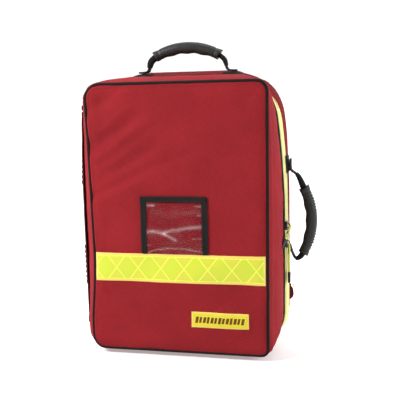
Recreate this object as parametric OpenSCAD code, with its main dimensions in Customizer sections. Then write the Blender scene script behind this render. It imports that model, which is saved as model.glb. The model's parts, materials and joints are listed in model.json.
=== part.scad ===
// Trauma backpack: a book-opening case of padded woven fabric with a
// wrap-around zip, two moulded carrying grips, a carrying harness on the back
// and removable module pouches inside.
// Frame: +Z up, the front faces -Y, the zip plane is y = 0 and the bag stands
// on z = 0. Lengths in millimetres.

/* [Body] */
// Half width of the front panel at its piping
front_hw = 157; // [150:1:164]
// Half width of the case at the zip
zip_hw = 182; // [180:1:184]
// Height of the front panel's top piping above the ground
front_top = 480; // [470:1:486]
// Height of the case at the zip
zip_top = 492; // [488:1:494]
// Height of the case at the back
rear_top = 499; // [496:1:504]
// Depth of the lid, from the front panel to the zip
lid_depth = 100; // [95:1:105]
// Depth of the rear tray, from the zip to the back
tray_depth = 100; // [96:1:105]
// Thickness of the padded walls
wall = 6; // [4:0.5:7]

/* [Front] */
// Height of the reflective band's lower edge
band_z = 136; // [120:1:150]
// Width of the reflective tape
band_h = 51; // [45:1:52]
// Outer width of the card window's frame
window_w = 119; // [100:1:125]
// Left edge of the card window's frame
window_x = -63; // [-70:1:-50]
// Height of the card window's frame above the band
window_h = 101; // [80:1:110]

/* [Handles] */
// Distance between the ends of a moulded grip
grip_len = 115; // [110:1:122]
// Width of a moulded grip across the webbing
grip_w = 24; // [20:1:28]
// Depth behind the zip at which both handles are sewn on
handle_y = 22; // [20:1:24]

/* [Zip] */
// Height of the upper slider
slider_up_z = 222; // [218:1:260]
// Height of the lower slider
slider_low_z = 190; // [150:1:194]

/* [Harness] */
// Thickness of the back pads
pad_t = 10; // [6:1:10]
// Thickness of the shoulder straps
strap_t = 11; // [8:1:12]

/* [Hidden] */
red = [0.65, 0.12, 0.15];
black = [0.08, 0.08, 0.09];
lime = [0.80, 0.90, 0.15];
grey = [0.35, 0.35, 0.37];

// A quarter circle of n steps starting at angle a0
function corner(cx, cz, r, a0, n) = [for (i = [0:n])
  [cx + r * cos(a0 + 90 * i / n), cz + r * sin(a0 + 90 * i / n)]];
// The upper half of the case narrows a little towards its top corners
function narrowed(p, w, k) = [p[0] * (1 - k * 0.0004 *
  pow(max(0, p[1] - 250), 2) / w), p[1]];
// Rounded outline of the case in the XZ plane, from the lower left corner
// round by the bottom, the right side and the top to the left side
function outline(w, zt, zb, rt, rb, k) = [for (p = concat(
  corner(-w + rb, zb + rb, rb, 180, 6),
  [for (i = [1:3]) [-w + rb + (2 * w - 2 * rb) * i / 4, zb]],
  corner(w - rb, zb + rb, rb, 270, 6),
  [for (i = [1:6]) [w, zb + rb + (zt - zb - rt - rb) * i / 7]],
  corner(w - rt, zt - rt, rt, 0, 8),
  [for (i = [1:3]) [w - rt - (2 * w - 2 * rt) * i / 4, zt]],
  corner(-w + rt, zt - rt, rt, 90, 8),
  [for (i = [1:6]) [-w, zt - rt - (zt - zb - rt - rb) * i / 7]]))
  narrowed(p, w, k)];
// Places an outline at depth y
function at_y(o, y) = [for (p = o) [p[0], y, p[1]]];
// A solid swept through rings of equal length, closed on itself or capped
module swept(rings, closed = false) {
  n = len(rings); m = len(rings[0]);
  last = closed ? n - 1 : n - 2;
  body = [for (i = [0:last], k = [0:m - 1], h = [0, 1])
    let (a = i * m + k, b = i * m + (k + 1) % m,
         c = ((i + 1) % n) * m + (k + 1) % m, d = ((i + 1) % n) * m + k)
    h == 0 ? [a, b, c] : [a, c, d]];
  caps = closed ? [] : [[for (k = [m - 1:-1:0]) k],
    [for (k = [0:m - 1]) (n - 1) * m + k]];
  polyhedron(points = [for (r = rings, p = r) p],
    faces = concat(body, caps), convexity = 8);
}
// Stations of the padded walls: depth, half width, top, bottom, top corner
// radius, bottom corner radius, narrowing, how far the middle is shifted
lid_st = [
  [-94, front_hw + 1.5, front_top + 1, 9.5, 26, 20, 0.05, -0.5],
  [-86, front_hw + 8.5, front_top + 3.5, 7, 31, 26, 0.2, -2.4],
  [-70, front_hw + 15, zip_top - 6, 5, 42, 38, 0.45, -3.6],
  [-45, front_hw + 20, zip_top - 3.5, 3.8, 56, 50, 0.75, -3],
  [-20, zip_hw - 3, zip_top - 1.2, 3, 68, 58, 0.95, -2.4],
  [-8, zip_hw - 1.8, zip_top - 0.4, 2.8, 72, 60, 1, -2.2]];
tray_st = [
  [8, zip_hw - 1, zip_top + 1, 2.3, 76, 60, 1, -0.4],
  [35, zip_hw + 0.2, zip_top + 3.2, 2.2, 80, 60, 1, 0],
  [65, zip_hw - 0.4, rear_top - 1, 2.2, 80, 58, 1, 0],
  [94, zip_hw - 3, rear_top, 2.4, 78, 56, 1, 0]];
function shifted(o, c) = [for (p = o) [p[0] + c, p[1]]];
function ring_at(st, t) = at_y(shifted(outline(st[1] - t, st[2] - t,
  st[3] + t, st[4] - t, st[5] - t, st[6]), st[7]), st[0]);
// Padded wall running all the way round the case
module wall_ring(sts, t) {
  n = len(sts);
  outer = [for (s = sts) ring_at(s, 0)];
  inner = [for (s = sts) ring_at(s, t)];
  swept([for (j = [0:len(outer[0]) - 1]) concat(
    [for (s = [0:n - 1]) outer[s][j]],
    [for (s = [n - 1:-1:0]) inner[s][j]])], true);
}
// Tape between depths y0 and y1 along part of an outline, t thick inwards
module tape(w, zt, zb, rt, rb, y0, y1, t, first, last) {
  o = shifted(outline(w, zt, zb, rt, rb, 1), -2.1);
  i = shifted(outline(w - t, zt - t, zb + t, rt - t, rb - t, 1), -2.1);
  swept([for (j = [first:last]) [
    [o[j][0], y0, o[j][1]], [o[j][0], y1, o[j][1]],
    [i[j][0], y1, i[j][1]], [i[j][0], y0, i[j][1]]]]);
}
// Round cord of radius r along a closed or open run of points p of the XZ
// plane at depth y
module cord_run(p, y, r, closed, sides = 8) {
  n = len(p);
  swept([for (j = [0:n - 1])
    let (a = p[closed ? (j + n - 1) % n : max(0, j - 1)],
         b = p[closed ? (j + 1) % n : min(n - 1, j + 1)],
         t = (b - a) / norm(b - a), q = [t[1], -t[0]])
    [for (k = [0:sides - 1]) [p[j][0] + q[0] * r * cos(360 * k / sides),
      y - r * sin(360 * k / sides), p[j][1] + q[1] * r * cos(360 * k / sides)]]],
    closed);
}
// Plate with the given outline between depths y0 and y1
module plate(o, y0, y1) {
  translate([0, y1, 0]) rotate([90, 0, 0]) linear_extrude(y1 - y0) polygon(o);
}
// Rounded rectangle from (x0,z0) to (x1,z1)
module rrect(x0, z0, x1, z1, r) {
  union() {
    translate([x0 + r, z0]) square([x1 - x0 - 2 * r, z1 - z0]);
    translate([x0, z0 + r]) square([x1 - x0, z1 - z0 - 2 * r]);
    for (x = [x0 + r, x1 - r], z = [z0 + r, z1 - r])
      translate([x, z]) circle(r, $fn = 32);
  }
}
module slab(x0, z0, x1, z1, r, y0, y1) {
  translate([0, y1, 0]) rotate([90, 0, 0]) linear_extrude(y1 - y0)
    rrect(x0, z0, x1, z1, r);
}

// ---- lid ----
module front_panel() {
  color(red) plate(outline(front_hw - 3, front_top - 3, 13, 22, 16, 0),
    -lid_depth, -94);
}
module front_gusset() { color(red) wall_ring(lid_st, wall); }
module front_piping() {
  color(black) cord_run(outline(front_hw, front_top, 10, 25, 19, 0), -97, 2.8,
    true);
}
module reflective_band() {
  color(lime) translate([-front_hw + 3.4, -101.2, band_z])
    cube([2 * front_hw - 6.8, 1.2, band_h]);
}
module id_window_frame() {
  z0 = band_z + band_h + 0.2;
  color(black) difference() {
    translate([window_x, -102, z0]) cube([window_w, 2, window_h]);
    translate([window_x + 10, -103, z0 - 1])
      cube([window_w - 21, 4, window_h - 9]);
  }
}
module id_window_film() {
  z0 = band_z + band_h + 0.4;
  color([0.9, 0.9, 0.95, 0.35]) translate([window_x + 10.1, -101.5, z0])
    cube([window_w - 21.2, 0.5, window_h - 10.5]);
}
module name_label() {
  color(lime) slab(23.5, 57, 124.5, 85, 2, -101, -100);
}
module zip_tape_lid() {
  color(black) tape(zip_hw - 2, zip_top, 2.7, 74, 60, -7.8, -2, 1.2, 2, 42);
}
// Row of interlocking teeth down one edge of the zip
module teeth(y0, y1) {
  tape(zip_hw - 1.8, zip_top + 0.2, 2.5, 74, 60, y0, y1, 2.2, 2, 42);
}
module zip_teeth_lid() { color(black) teeth(-1.95, -0.15); }
module lid_lining() {
  color(grey) plate(outline(front_hw - 6.5, front_top - 6.5, 17, 18, 12, 0),
    -93.9, -92.9);
}
module mesh_pocket() {
  color(black) slab(-128, 34, 128, 236, 12, -92.8, -87.5);
}
module pocket_zip() {
  color(black) slab(-128, 238, 128, 252, 1, -92.8, -91);
}
module pocket_slider() {
  color(grey) union() {
    translate([-122, -90.8, 240]) cube([10, 4.4, 9]);
    translate([-120, -87.1, 224]) cube([6, 1.4, 18]);
  }
}
module hinge_strip_lid() {
  color(red) translate([-zip_hw - 2.4, -6.8, 66]) cube([2.2, 6.6, 352]);
}
// How far out the lid's left wall is at depth y and height z
function lid_w(y, z) = let (t = [for (q = lid_st) [q[0], q[1]]],
  k = [for (q = lid_st) [q[0], q[6]]],
  c = [for (q = lid_st) [q[0], q[7]]])
  lookup(y, t) - lookup(y, c) - lookup(y, k) * 0.0004 * pow(max(0, z - 250), 2);
module lid_side_patch() {
  ys = [-78, -70, -58, -45, -32, -20, -12];
  color([0.45, 0.08, 0.1])
    swept([for (z = [56, 130, 200, 260, 290, 315, 340, 370, 400, 425])
    concat([for (y = ys) [-lid_w(y, z) - 0.7, y, z]],
      [for (i = [len(ys) - 1:-1:0]) [-lid_w(ys[i], z) - 2.3, ys[i], z]])]);
}
// Ribbed rubber skid strip 74 tall, its flat back at x, leaning in by lean
module skid(x, y, z0, lean) {
  translate([x, y, z0]) rotate([0, lean, 0]) union() {
    translate([-1.6, -11, 0]) cube([1.6, 22, 74]);
    for (i = [0:7]) translate([-3.4, -10, 1.5 + i * 9.4]) cube([2, 20, 5]);
  }
}
module lid_skids() {
  color(black) union() { skid(-183.4, -43, 116, 0);
    skid(-183.1, -43, 302, 3); }
}
module rear_skids() {
  color(black) union() { skid(-182.9, 50, 116, 0);
    skid(-182, 50, 302, 4); }
}

// ---- rear tray ----
module rear_gusset() { color(red) wall_ring(tray_st, wall); }
module back_panel() {
  color(black) plate(outline(zip_hw - 6, rear_top - 3, 5.4, 75, 53, 1), 94,
    tray_depth);
}
module rear_piping() {
  color(black) cord_run(outline(zip_hw - 3.1, rear_top, 2.5, 78, 56, 1), 97,
    2.5, true);
}
module base_panel() {
  color(black) translate([-112, -4, 0]) cube([224, 95, 2]);
}
module zip_tape_rear() {
  color(lime) tape(zip_hw - 2, zip_top, 2.7, 74, 60, 2, 7.8, 1.2, 2, 42);
}
module zip_teeth_rear() { color(black) teeth(0.15, 1.95); }
module hinge_strip_rear() {
  color(red) translate([-zip_hw - 2.4, 0.2, 66]) cube([2.2, 16, 352]);
}
module rear_lining() {
  color(grey) plate(outline(zip_hw - 12, rear_top - 9, 12, 69, 47, 1), 92.9,
    93.9);
}

// ---- zip sliders and pulls ----
module slider_body(z, turn) {
  translate([0, 0, z]) difference() {
    union() {
      translate([179.4, -6, -8]) cube([4.4, 12, 16]);
      rotate([turn, 0, 0]) translate([183.8, -2, -4]) cube([4, 4, 8]);
    }
    rotate([turn, 0, 0]) translate([186.1, -5, 0]) rotate([-90, 0, 0])
      cylinder(h = 10, r = 1.1, $fn = 32);
  }
}
module zip_slider_upper() { color(grey) slider_body(slider_up_z, -44); }
module zip_slider_lower() { color(grey) slider_body(slider_low_z, 0); }
// Pull that hangs along -Z from the origin: two legs of cord and a moulded end
module pull_cord(len) {
  union() {
    for (y = [-3.5, 3.5]) translate([0, y, -len])
      cylinder(h = len, r = 1, $fn = 24);
    translate([0, -4.4, 0]) rotate([-90, 0, 0])
      cylinder(h = 8.8, r = 1.03, $fn = 32);
  }
}
module pull_grip(top, len) {
  translate([0, 0, -top - len]) linear_extrude(len) union() {
    translate([-2.6, -3]) square([5.2, 6]);
    for (y = [-3, 3]) translate([0, y]) circle(2.6, $fn = 24);
  }
}
module upper_place() {
  translate([186.1, 0, slider_up_z]) rotate([-44, 0, 0]) rotate([0, 6, 0])
    children();
}
module upper_pull_cord() { color(lime) upper_place() pull_cord(30); }
module upper_pull_grip() { color(black) upper_place() pull_grip(30.1, 20); }
module lower_pull_cord() {
  color(lime) translate([186.1, 0, slider_low_z]) pull_cord(52);
}
module lower_pull_grip() {
  color(black) translate([186.1, 0, slider_low_z]) pull_grip(52.1, 22);
}

// ---- handles ----
// Webbing 12 wide and 3 thick along a run of points [u, v], drawn narrower
// where it comes within a round of radius 6 of the fold line at v0
function web_ring(p, i, v0) =
  let (n = len(p), a = p[max(0, i - 1)], b = p[min(n - 1, i + 1)],
    t = (b - a) / norm(b - a), q = [-t[1], t[0]] * 1.5,
    h = p[i][1] >= v0 ? 6 : sqrt(max(2, 36 - pow(v0 - p[i][1], 2))))
  [[p[i][0] - q[0], -h, p[i][1] - q[1]], [p[i][0] - q[0], h, p[i][1] - q[1]],
   [p[i][0] + q[0], h, p[i][1] + q[1]], [p[i][0] + q[0], -h, p[i][1] + q[1]]];
module webbing(p, v0) { swept([for (i = [0:len(p) - 1]) web_ring(p, i, v0)]); }
// Moulded grip along a run of points: an oval with flared collars and finger
// waves on its inner side, and a slot for the webbing
module grip(p, inner) {
  n = len(p); m = 16;
  rings = [for (i = [0:n - 1])
    let (a = p[max(0, i - 1)], b = p[min(n - 1, i + 1)],
      t = (b - a) / norm(b - a), q = [-t[1], t[0]] * inner,
      s = 2 * i / (n - 1) - 1,
      collar = abs(s) > 0.93 ? 1.6 : 0,
      hi = 7.6 + 3.2 * (1 - s * s) + collar,
      lo = 7.6 + 2.6 * (1 - s * s) + collar + (abs(s) < 0.85 ?
        0.9 * cos(360 * s * 2) : 0),
      hw = grip_w / 2 - 1.5 * s * s + collar)
    concat(
      [for (k = [0:m - 1]) let (c = cos(360 * k / m), d = sin(360 * k / m))
        [p[i][0] + q[0] * d * (d > 0 ? hi : lo), hw * c,
         p[i][1] + q[1] * d * (d > 0 ? hi : lo)]],
      [for (k = [0:m - 1]) let (c = cos(360 * k / m), d = sin(360 * k / m),
          f = 1 / pow(pow(abs(c), 4) + pow(abs(d), 4), 0.25))
        [p[i][0] + q[0] * d * 2.0 * f, 6.6 * c * f, p[i][1] + q[1] * d * 2.0 *
          f]])];
  faces_of = function (i, k, o) [i * 2 * m + o * m + k, i * 2 * m + o * m +
    (k + 1) % m, (i + 1) * 2 * m + o * m + (k + 1) % m, (i + 1) * 2 * m + o *
    m + k];
  polyhedron(points = [for (r = rings, v = r) v], convexity = 8,
    faces = concat(
      [for (i = [0:n - 2], k = [0:m - 1], h = [0, 1])
        let (f = faces_of(i, k, 0)) h == 0 ? [f[0], f[1], f[2]] :
          [f[0], f[2], f[3]]],
      [for (i = [0:n - 2], k = [0:m - 1], h = [0, 1])
        let (f = faces_of(i, k, 1)) h == 0 ? [f[0], f[2], f[1]] :
          [f[0], f[3], f[2]]],
      [for (k = [0:m - 1], h = [0, 1]) h == 0 ?
        [k, m + k, m + (k + 1) % m] : [k, m + (k + 1) % m, (k + 1) % m]],
      [for (k = [0:m - 1], h = [0, 1]) let (e = (n - 1) * 2 * m) h == 0 ?
        [e + k, e + m + (k + 1) % m, e + m + k] :
        [e + k, e + (k + 1) % m, e + m + (k + 1) % m]]));
}
// Smooth curve through points, s steps in each span
function cr(a, b, c, d, t) = 0.5 * ((2 * b) + (c - a) * t + (2 * a - 5 * b +
  4 * c - d) * t * t + (3 * b - a - 3 * c + d) * t * t * t);
function smooth(p, s) = let (n = len(p)) concat([for (i = [0:n - 2],
  j = [0:s - 1]) cr(p[max(0, i - 1)], p[i], p[i + 1], p[min(n - 1, i + 2)],
  j / s)], [p[n - 1]]);
// Top handle: u is x and v is height
top_fold = 503.5;
g = grip_len / 2;
top_grip_run = [for (i = [0:20]) let (s = i / 10 - 1)
  [g * s, 526.5 + 13.5 * (1 - s * s)]];
top_leg = smooth([[-g - 15, top_fold - 5.6], [-g - 14, top_fold],
  [-g - 12.6, 512], [-g - 10.4, 518], [-g - 6, 522.6], [-g, 526.3]], 3);
top_run = concat(top_leg, [for (i = [1:19]) top_grip_run[i]],
  [for (i = [len(top_leg) - 1:-1:0]) [-top_leg[i][0], top_leg[i][1]]]);
module top_handle_anchors() {
  color(black) for (s = [-1, 1]) translate([s * (g + 24), handle_y, 495.3])
    rotate([6.5, 0, 0]) translate([-15, -13, 0]) cube([30, 26, 1.8]);
}
module top_handle_webbing() {
  color(black) translate([0, handle_y, 0]) webbing(top_run, top_fold);
}
module top_handle_grip() {
  color(black) translate([0, handle_y, 0]) grip(top_grip_run, 1);
}
// Side handle: u is height and v is the distance out from the middle; it
// hangs a little below its two sewn ends
side_fold = 192;
side_grip_run = [for (i = [0:20]) let (s = 1 - i / 10)
  [228 + g * 1.02 * s, 208.6 + 13.5 * (1 - s * s) + 0.3 * s]];
side_top_leg = smooth([[318, side_fold - 5.6], [314.5, side_fold + 0.5],
  [308, 199.5], [299, 203.6], [288.5, 208]], 3);
side_low_leg = smooth([[167.5, 207.6], [160, 203.5], [155.5, 198.5],
  [158, 193], [165, 190.2], [174, side_fold - 4.6]], 3);
side_run = concat([for (p = side_top_leg) p],
  [for (i = [1:len(side_grip_run) - 2]) side_grip_run[i]],
  [for (p = side_low_leg) p]);
module side_frame() {
  translate([0, handle_y, 0]) mirror([1, 0, 0]) rotate([0, -90, 0])
    mirror([0, 0, 0]) children();
}
module side_handle_anchors() {
  color(black) union() {
    translate([182.3, handle_y - 13, 316]) cube([1.8, 26, 30]);
    translate([182.3, handle_y - 13, 168]) cube([1.8, 26, 14]);
  }
}
module side_handle_webbing() {
  color(black) side_frame() webbing(side_run, side_fold);
}
module side_handle_grip() { color(black) side_frame() grip(side_grip_run, -1); }

// ---- contents ----
module shelf_divider() { color(grey) translate([-170, 12, 318])
  cube([340, 79, 6]); }
module centre_divider() { color(grey) translate([-2.5, 18, 10])
  cube([5, 73, 307]); }
module pouch(x0, z0, x1, z1) { slab(x0, z0, x1, z1, 14, 18, 91); }
module pouch_lower_left() { color(red) pouch(-160, 18, -5, 162); }
module pouch_lower_right() { color(red) pouch(5, 18, 160, 162); }
module pouch_upper_left() { color(red) pouch(-160, 168, -5, 314); }
module pouch_upper_right() { color(red) pouch(5, 168, 160, 314); }
module pouch_windows() {
  color([0.9, 0.9, 0.95, 0.4]) for (x = [-146.5, 18.5], z = [36, 188])
    slab(x, z, x + 128, z + 100, 6, 17.3, 17.9);
}
module retention_straps() {
  color(black) for (z = [84, 228]) translate([-174.5, 14.5, z])
    cube([349, 1.6, 25]);
}

// ---- harness ----
// Centre line of the left shoulder strap, then its half width, by i of 0..24
function strap_c(i) = let (t = i / 24) [46 + 62 * t - 22 * sin(180 * t),
  448 - 250 * t];
function strap_h(i) = let (t = i / 24) 27 + 7 * sin(180 * min(1, t * 1.25)) -
  12 * t * t;
module strap_shape() {
  polygon(concat(
    [for (i = [0:24]) let (c = strap_c(i)) [c[0] - strap_h(i), c[1]]],
    [for (i = [24:-1:0]) let (c = strap_c(i)) [c[0] + strap_h(i), c[1]]]));
}
back_y = tray_depth + pad_t + 0.2;
module strap_right() {
  translate([0, back_y + strap_t, 0]) rotate([90, 0, 0])
    linear_extrude(strap_t) strap_shape();
}
module shoulder_strap_right() { color(black) strap_right(); }
module shoulder_strap_left() { color(black) mirror([1, 0, 0]) strap_right(); }
module harness_yoke() {
  color(black) slab(-92, 450, 92, 474, 6, tray_depth, back_y + strap_t);
}
module back_pads() {
  color(grey) for (s = [-1, 1]) slab(s > 0 ? 14 : -134, 60, s > 0 ? 134 : -14,
    440, 22, tray_depth, tray_depth + pad_t);
}
// Frame with a bar across it that grips the adjusting webbing
module ladder_lock() {
  difference() {
    translate([92, back_y + 1, 168]) cube([32, 7, 28]);
    translate([96, back_y, 172]) cube([24, 10, 7]);
    translate([96, back_y, 184]) cube([24, 10, 7]);
  }
}
module ladder_locks() {
  color(black) union() { ladder_lock(); mirror([1, 0, 0]) ladder_lock(); }
}
// Adjusting webbing from the ladder lock down to the tab at the lower corner
module lower_web() {
  translate([0, back_y + 1.7, 0]) rotate([90, 0, 0]) linear_extrude(1.5)
    polygon([[97, 167.8], [119, 167.8], [180, 82], [166, 68]]);
}
module lower_webbing_right() { color(black) lower_web(); }
module lower_webbing_left() { color(black) mirror([1, 0, 0]) lower_web(); }
module anchor_tab() {
  translate([0, 110.2, 0]) rotate([90, 0, 0]) linear_extrude(10)
    polygon([[176, 84], [183.5, 76], [184.5, 60], [168, 48], [150, 50]]);
}
module anchor_tabs() {
  color([0.5, 0.1, 0.12]) union() { anchor_tab();
    mirror([1, 0, 0]) anchor_tab(); }
}
chest_y = back_y + strap_t + 0.5;
module chest_webbing_left() {
  color(black) translate([-92, chest_y, 350]) cube([73, 1.6, 20]);
}
module chest_webbing_right() {
  color(black) translate([19.5, chest_y, 350]) cube([72, 1.6, 20]);
}
module chest_buckle_socket() {
  color(black) difference() {
    translate([-20, chest_y + 1.8, 346]) cube([32, 9, 28]);
    translate([-8, chest_y + 3.4, 349]) cube([21, 5.8, 22]);
  }
}
module chest_buckle_clip() {
  color(black) union() {
    translate([12.4, chest_y + 1.8, 346]) cube([10, 9, 28]);
    translate([-5, chest_y + 4, 350]) cube([17.6, 4.6, 5]);
    translate([-5, chest_y + 4, 365]) cube([17.6, 4.6, 5]);
    translate([-6, chest_y + 4, 357.5]) cube([18.6, 4.6, 5]);
  }
}

front_panel();
front_gusset();
front_piping();
reflective_band();
id_window_frame();
id_window_film();
name_label();
zip_tape_lid();
zip_teeth_lid();
lid_lining();
mesh_pocket();
pocket_zip();
pocket_slider();
hinge_strip_lid();
lid_side_patch();
lid_skids();
rear_gusset();
back_panel();
rear_piping();
base_panel();
zip_tape_rear();
zip_teeth_rear();
hinge_strip_rear();
rear_skids();
rear_lining();
zip_slider_upper();
zip_slider_lower();
upper_pull_cord();
upper_pull_grip();
lower_pull_cord();
lower_pull_grip();
top_handle_anchors();
top_handle_webbing();
top_handle_grip();
side_handle_anchors();
side_handle_webbing();
side_handle_grip();
shelf_divider();
centre_divider();
pouch_lower_left();
pouch_lower_right();
pouch_upper_left();
pouch_upper_right();
pouch_windows();
retention_straps();
harness_yoke();
back_pads();
shoulder_strap_left();
shoulder_strap_right();
ladder_locks();
lower_webbing_left();
lower_webbing_right();
anchor_tabs();
chest_webbing_left();
chest_webbing_right();
chest_buckle_socket();
chest_buckle_clip();
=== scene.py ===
"""Looks of the trauma backpack: fabric, padding, zips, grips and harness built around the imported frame."""

import json
import math

import bmesh
import bpy
import numpy as np
from mathutils import Matrix, Vector
from mathutils.bvhtree import BVHTree


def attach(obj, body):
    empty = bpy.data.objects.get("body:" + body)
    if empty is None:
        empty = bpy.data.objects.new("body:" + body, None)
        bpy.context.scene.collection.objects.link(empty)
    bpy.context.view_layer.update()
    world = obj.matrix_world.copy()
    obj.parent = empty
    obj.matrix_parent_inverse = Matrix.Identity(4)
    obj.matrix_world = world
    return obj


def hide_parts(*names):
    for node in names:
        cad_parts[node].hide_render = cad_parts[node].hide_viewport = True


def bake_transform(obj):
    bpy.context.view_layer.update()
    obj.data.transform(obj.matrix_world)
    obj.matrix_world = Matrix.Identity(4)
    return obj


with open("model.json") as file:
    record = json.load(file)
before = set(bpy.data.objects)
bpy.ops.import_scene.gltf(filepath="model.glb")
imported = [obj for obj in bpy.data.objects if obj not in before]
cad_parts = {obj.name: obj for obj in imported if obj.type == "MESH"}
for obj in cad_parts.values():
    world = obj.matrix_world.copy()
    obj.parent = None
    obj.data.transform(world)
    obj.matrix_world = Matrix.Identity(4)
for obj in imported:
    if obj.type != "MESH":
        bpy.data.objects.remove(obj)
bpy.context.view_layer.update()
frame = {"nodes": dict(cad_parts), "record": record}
NODES = frame["nodes"]
MM = 0.001
RNG = np.random.default_rng(11)
sin, cos, pi, exp = np.sin, np.cos, np.pi, np.exp


# ---------------------------------------------------------------- numbers
def sstep(a, b, x):
    t = np.clip((np.asarray(x, float) - a) / (b - a), 0, 1)
    return t * t * (3 - 2 * t)


def hashed(i, j, seed):
    n = (i * 374761393 + j * 668265263 + seed * 974634777) & 0xFFFFFFFF
    n = ((n ^ (n >> 13)) * 1274126177) & 0xFFFFFFFF
    return ((n ^ (n >> 16)) & 0xFFFF) / 32767.5 - 1


def vnoise(x, y, seed=0):
    """Smooth noise between -1 and 1 with features one unit across."""
    x, y = np.broadcast_arrays(np.asarray(x, float), np.asarray(y, float))
    i, j = np.floor(x).astype(np.int64), np.floor(y).astype(np.int64)
    fx, fy = x - i, y - j
    fx, fy = fx * fx * fx * (fx * (fx * 6 - 15) + 10), fy * fy * fy * (fy * (fy * 6 - 15) + 10)
    a, b = hashed(i, j, seed), hashed(i + 1, j, seed)
    c, d = hashed(i, j + 1, seed), hashed(i + 1, j + 1, seed)
    return (a + (b - a) * fx) * (1 - fy) + (c + (d - c) * fx) * fy


def spline(points, step):
    """Catmull-Rom curve through points, resampled to about step apart."""
    p = np.asarray(points, float)
    ext = np.concatenate([2 * p[:1] - p[1:2], p, 2 * p[-1:] - p[-2:-1]])
    out = []
    for k in range(len(p) - 1):
        a, b, c, d = ext[k : k + 4]
        for t in np.linspace(0, 1, 24, endpoint=False):
            out.append(0.5 * (2 * b + (c - a) * t + (2 * a - 5 * b + 4 * c - d) * t * t + (3 * b - a - 3 * c + d) * t**3))
    out.append(p[-1])
    return resample(np.array(out), step)


def resample(p, step, closed=False):
    p = np.asarray(p, float)
    if closed:
        p = np.concatenate([p, p[:1]])
    s = np.concatenate([[0], np.cumsum(np.linalg.norm(np.diff(p, axis=0), axis=1))])
    n = max(2, int(round(s[-1] / step)) + 1)
    q = np.linspace(0, s[-1], n)
    r = np.stack([np.interp(q, s, p[:, k]) for k in range(p.shape[1])], 1)
    return r[:-1] if closed else r


def unit(v):
    return v / np.maximum(np.linalg.norm(v, axis=-1, keepdims=True), 1e-12)


def tangents(p, closed=False):
    if closed:
        return unit(np.roll(p, -1, 0) - np.roll(p, 1, 0))
    t = np.empty_like(p)
    t[1:-1] = p[2:] - p[:-2]
    t[0], t[-1] = p[1] - p[0], p[-1] - p[-2]
    return unit(t)


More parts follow.
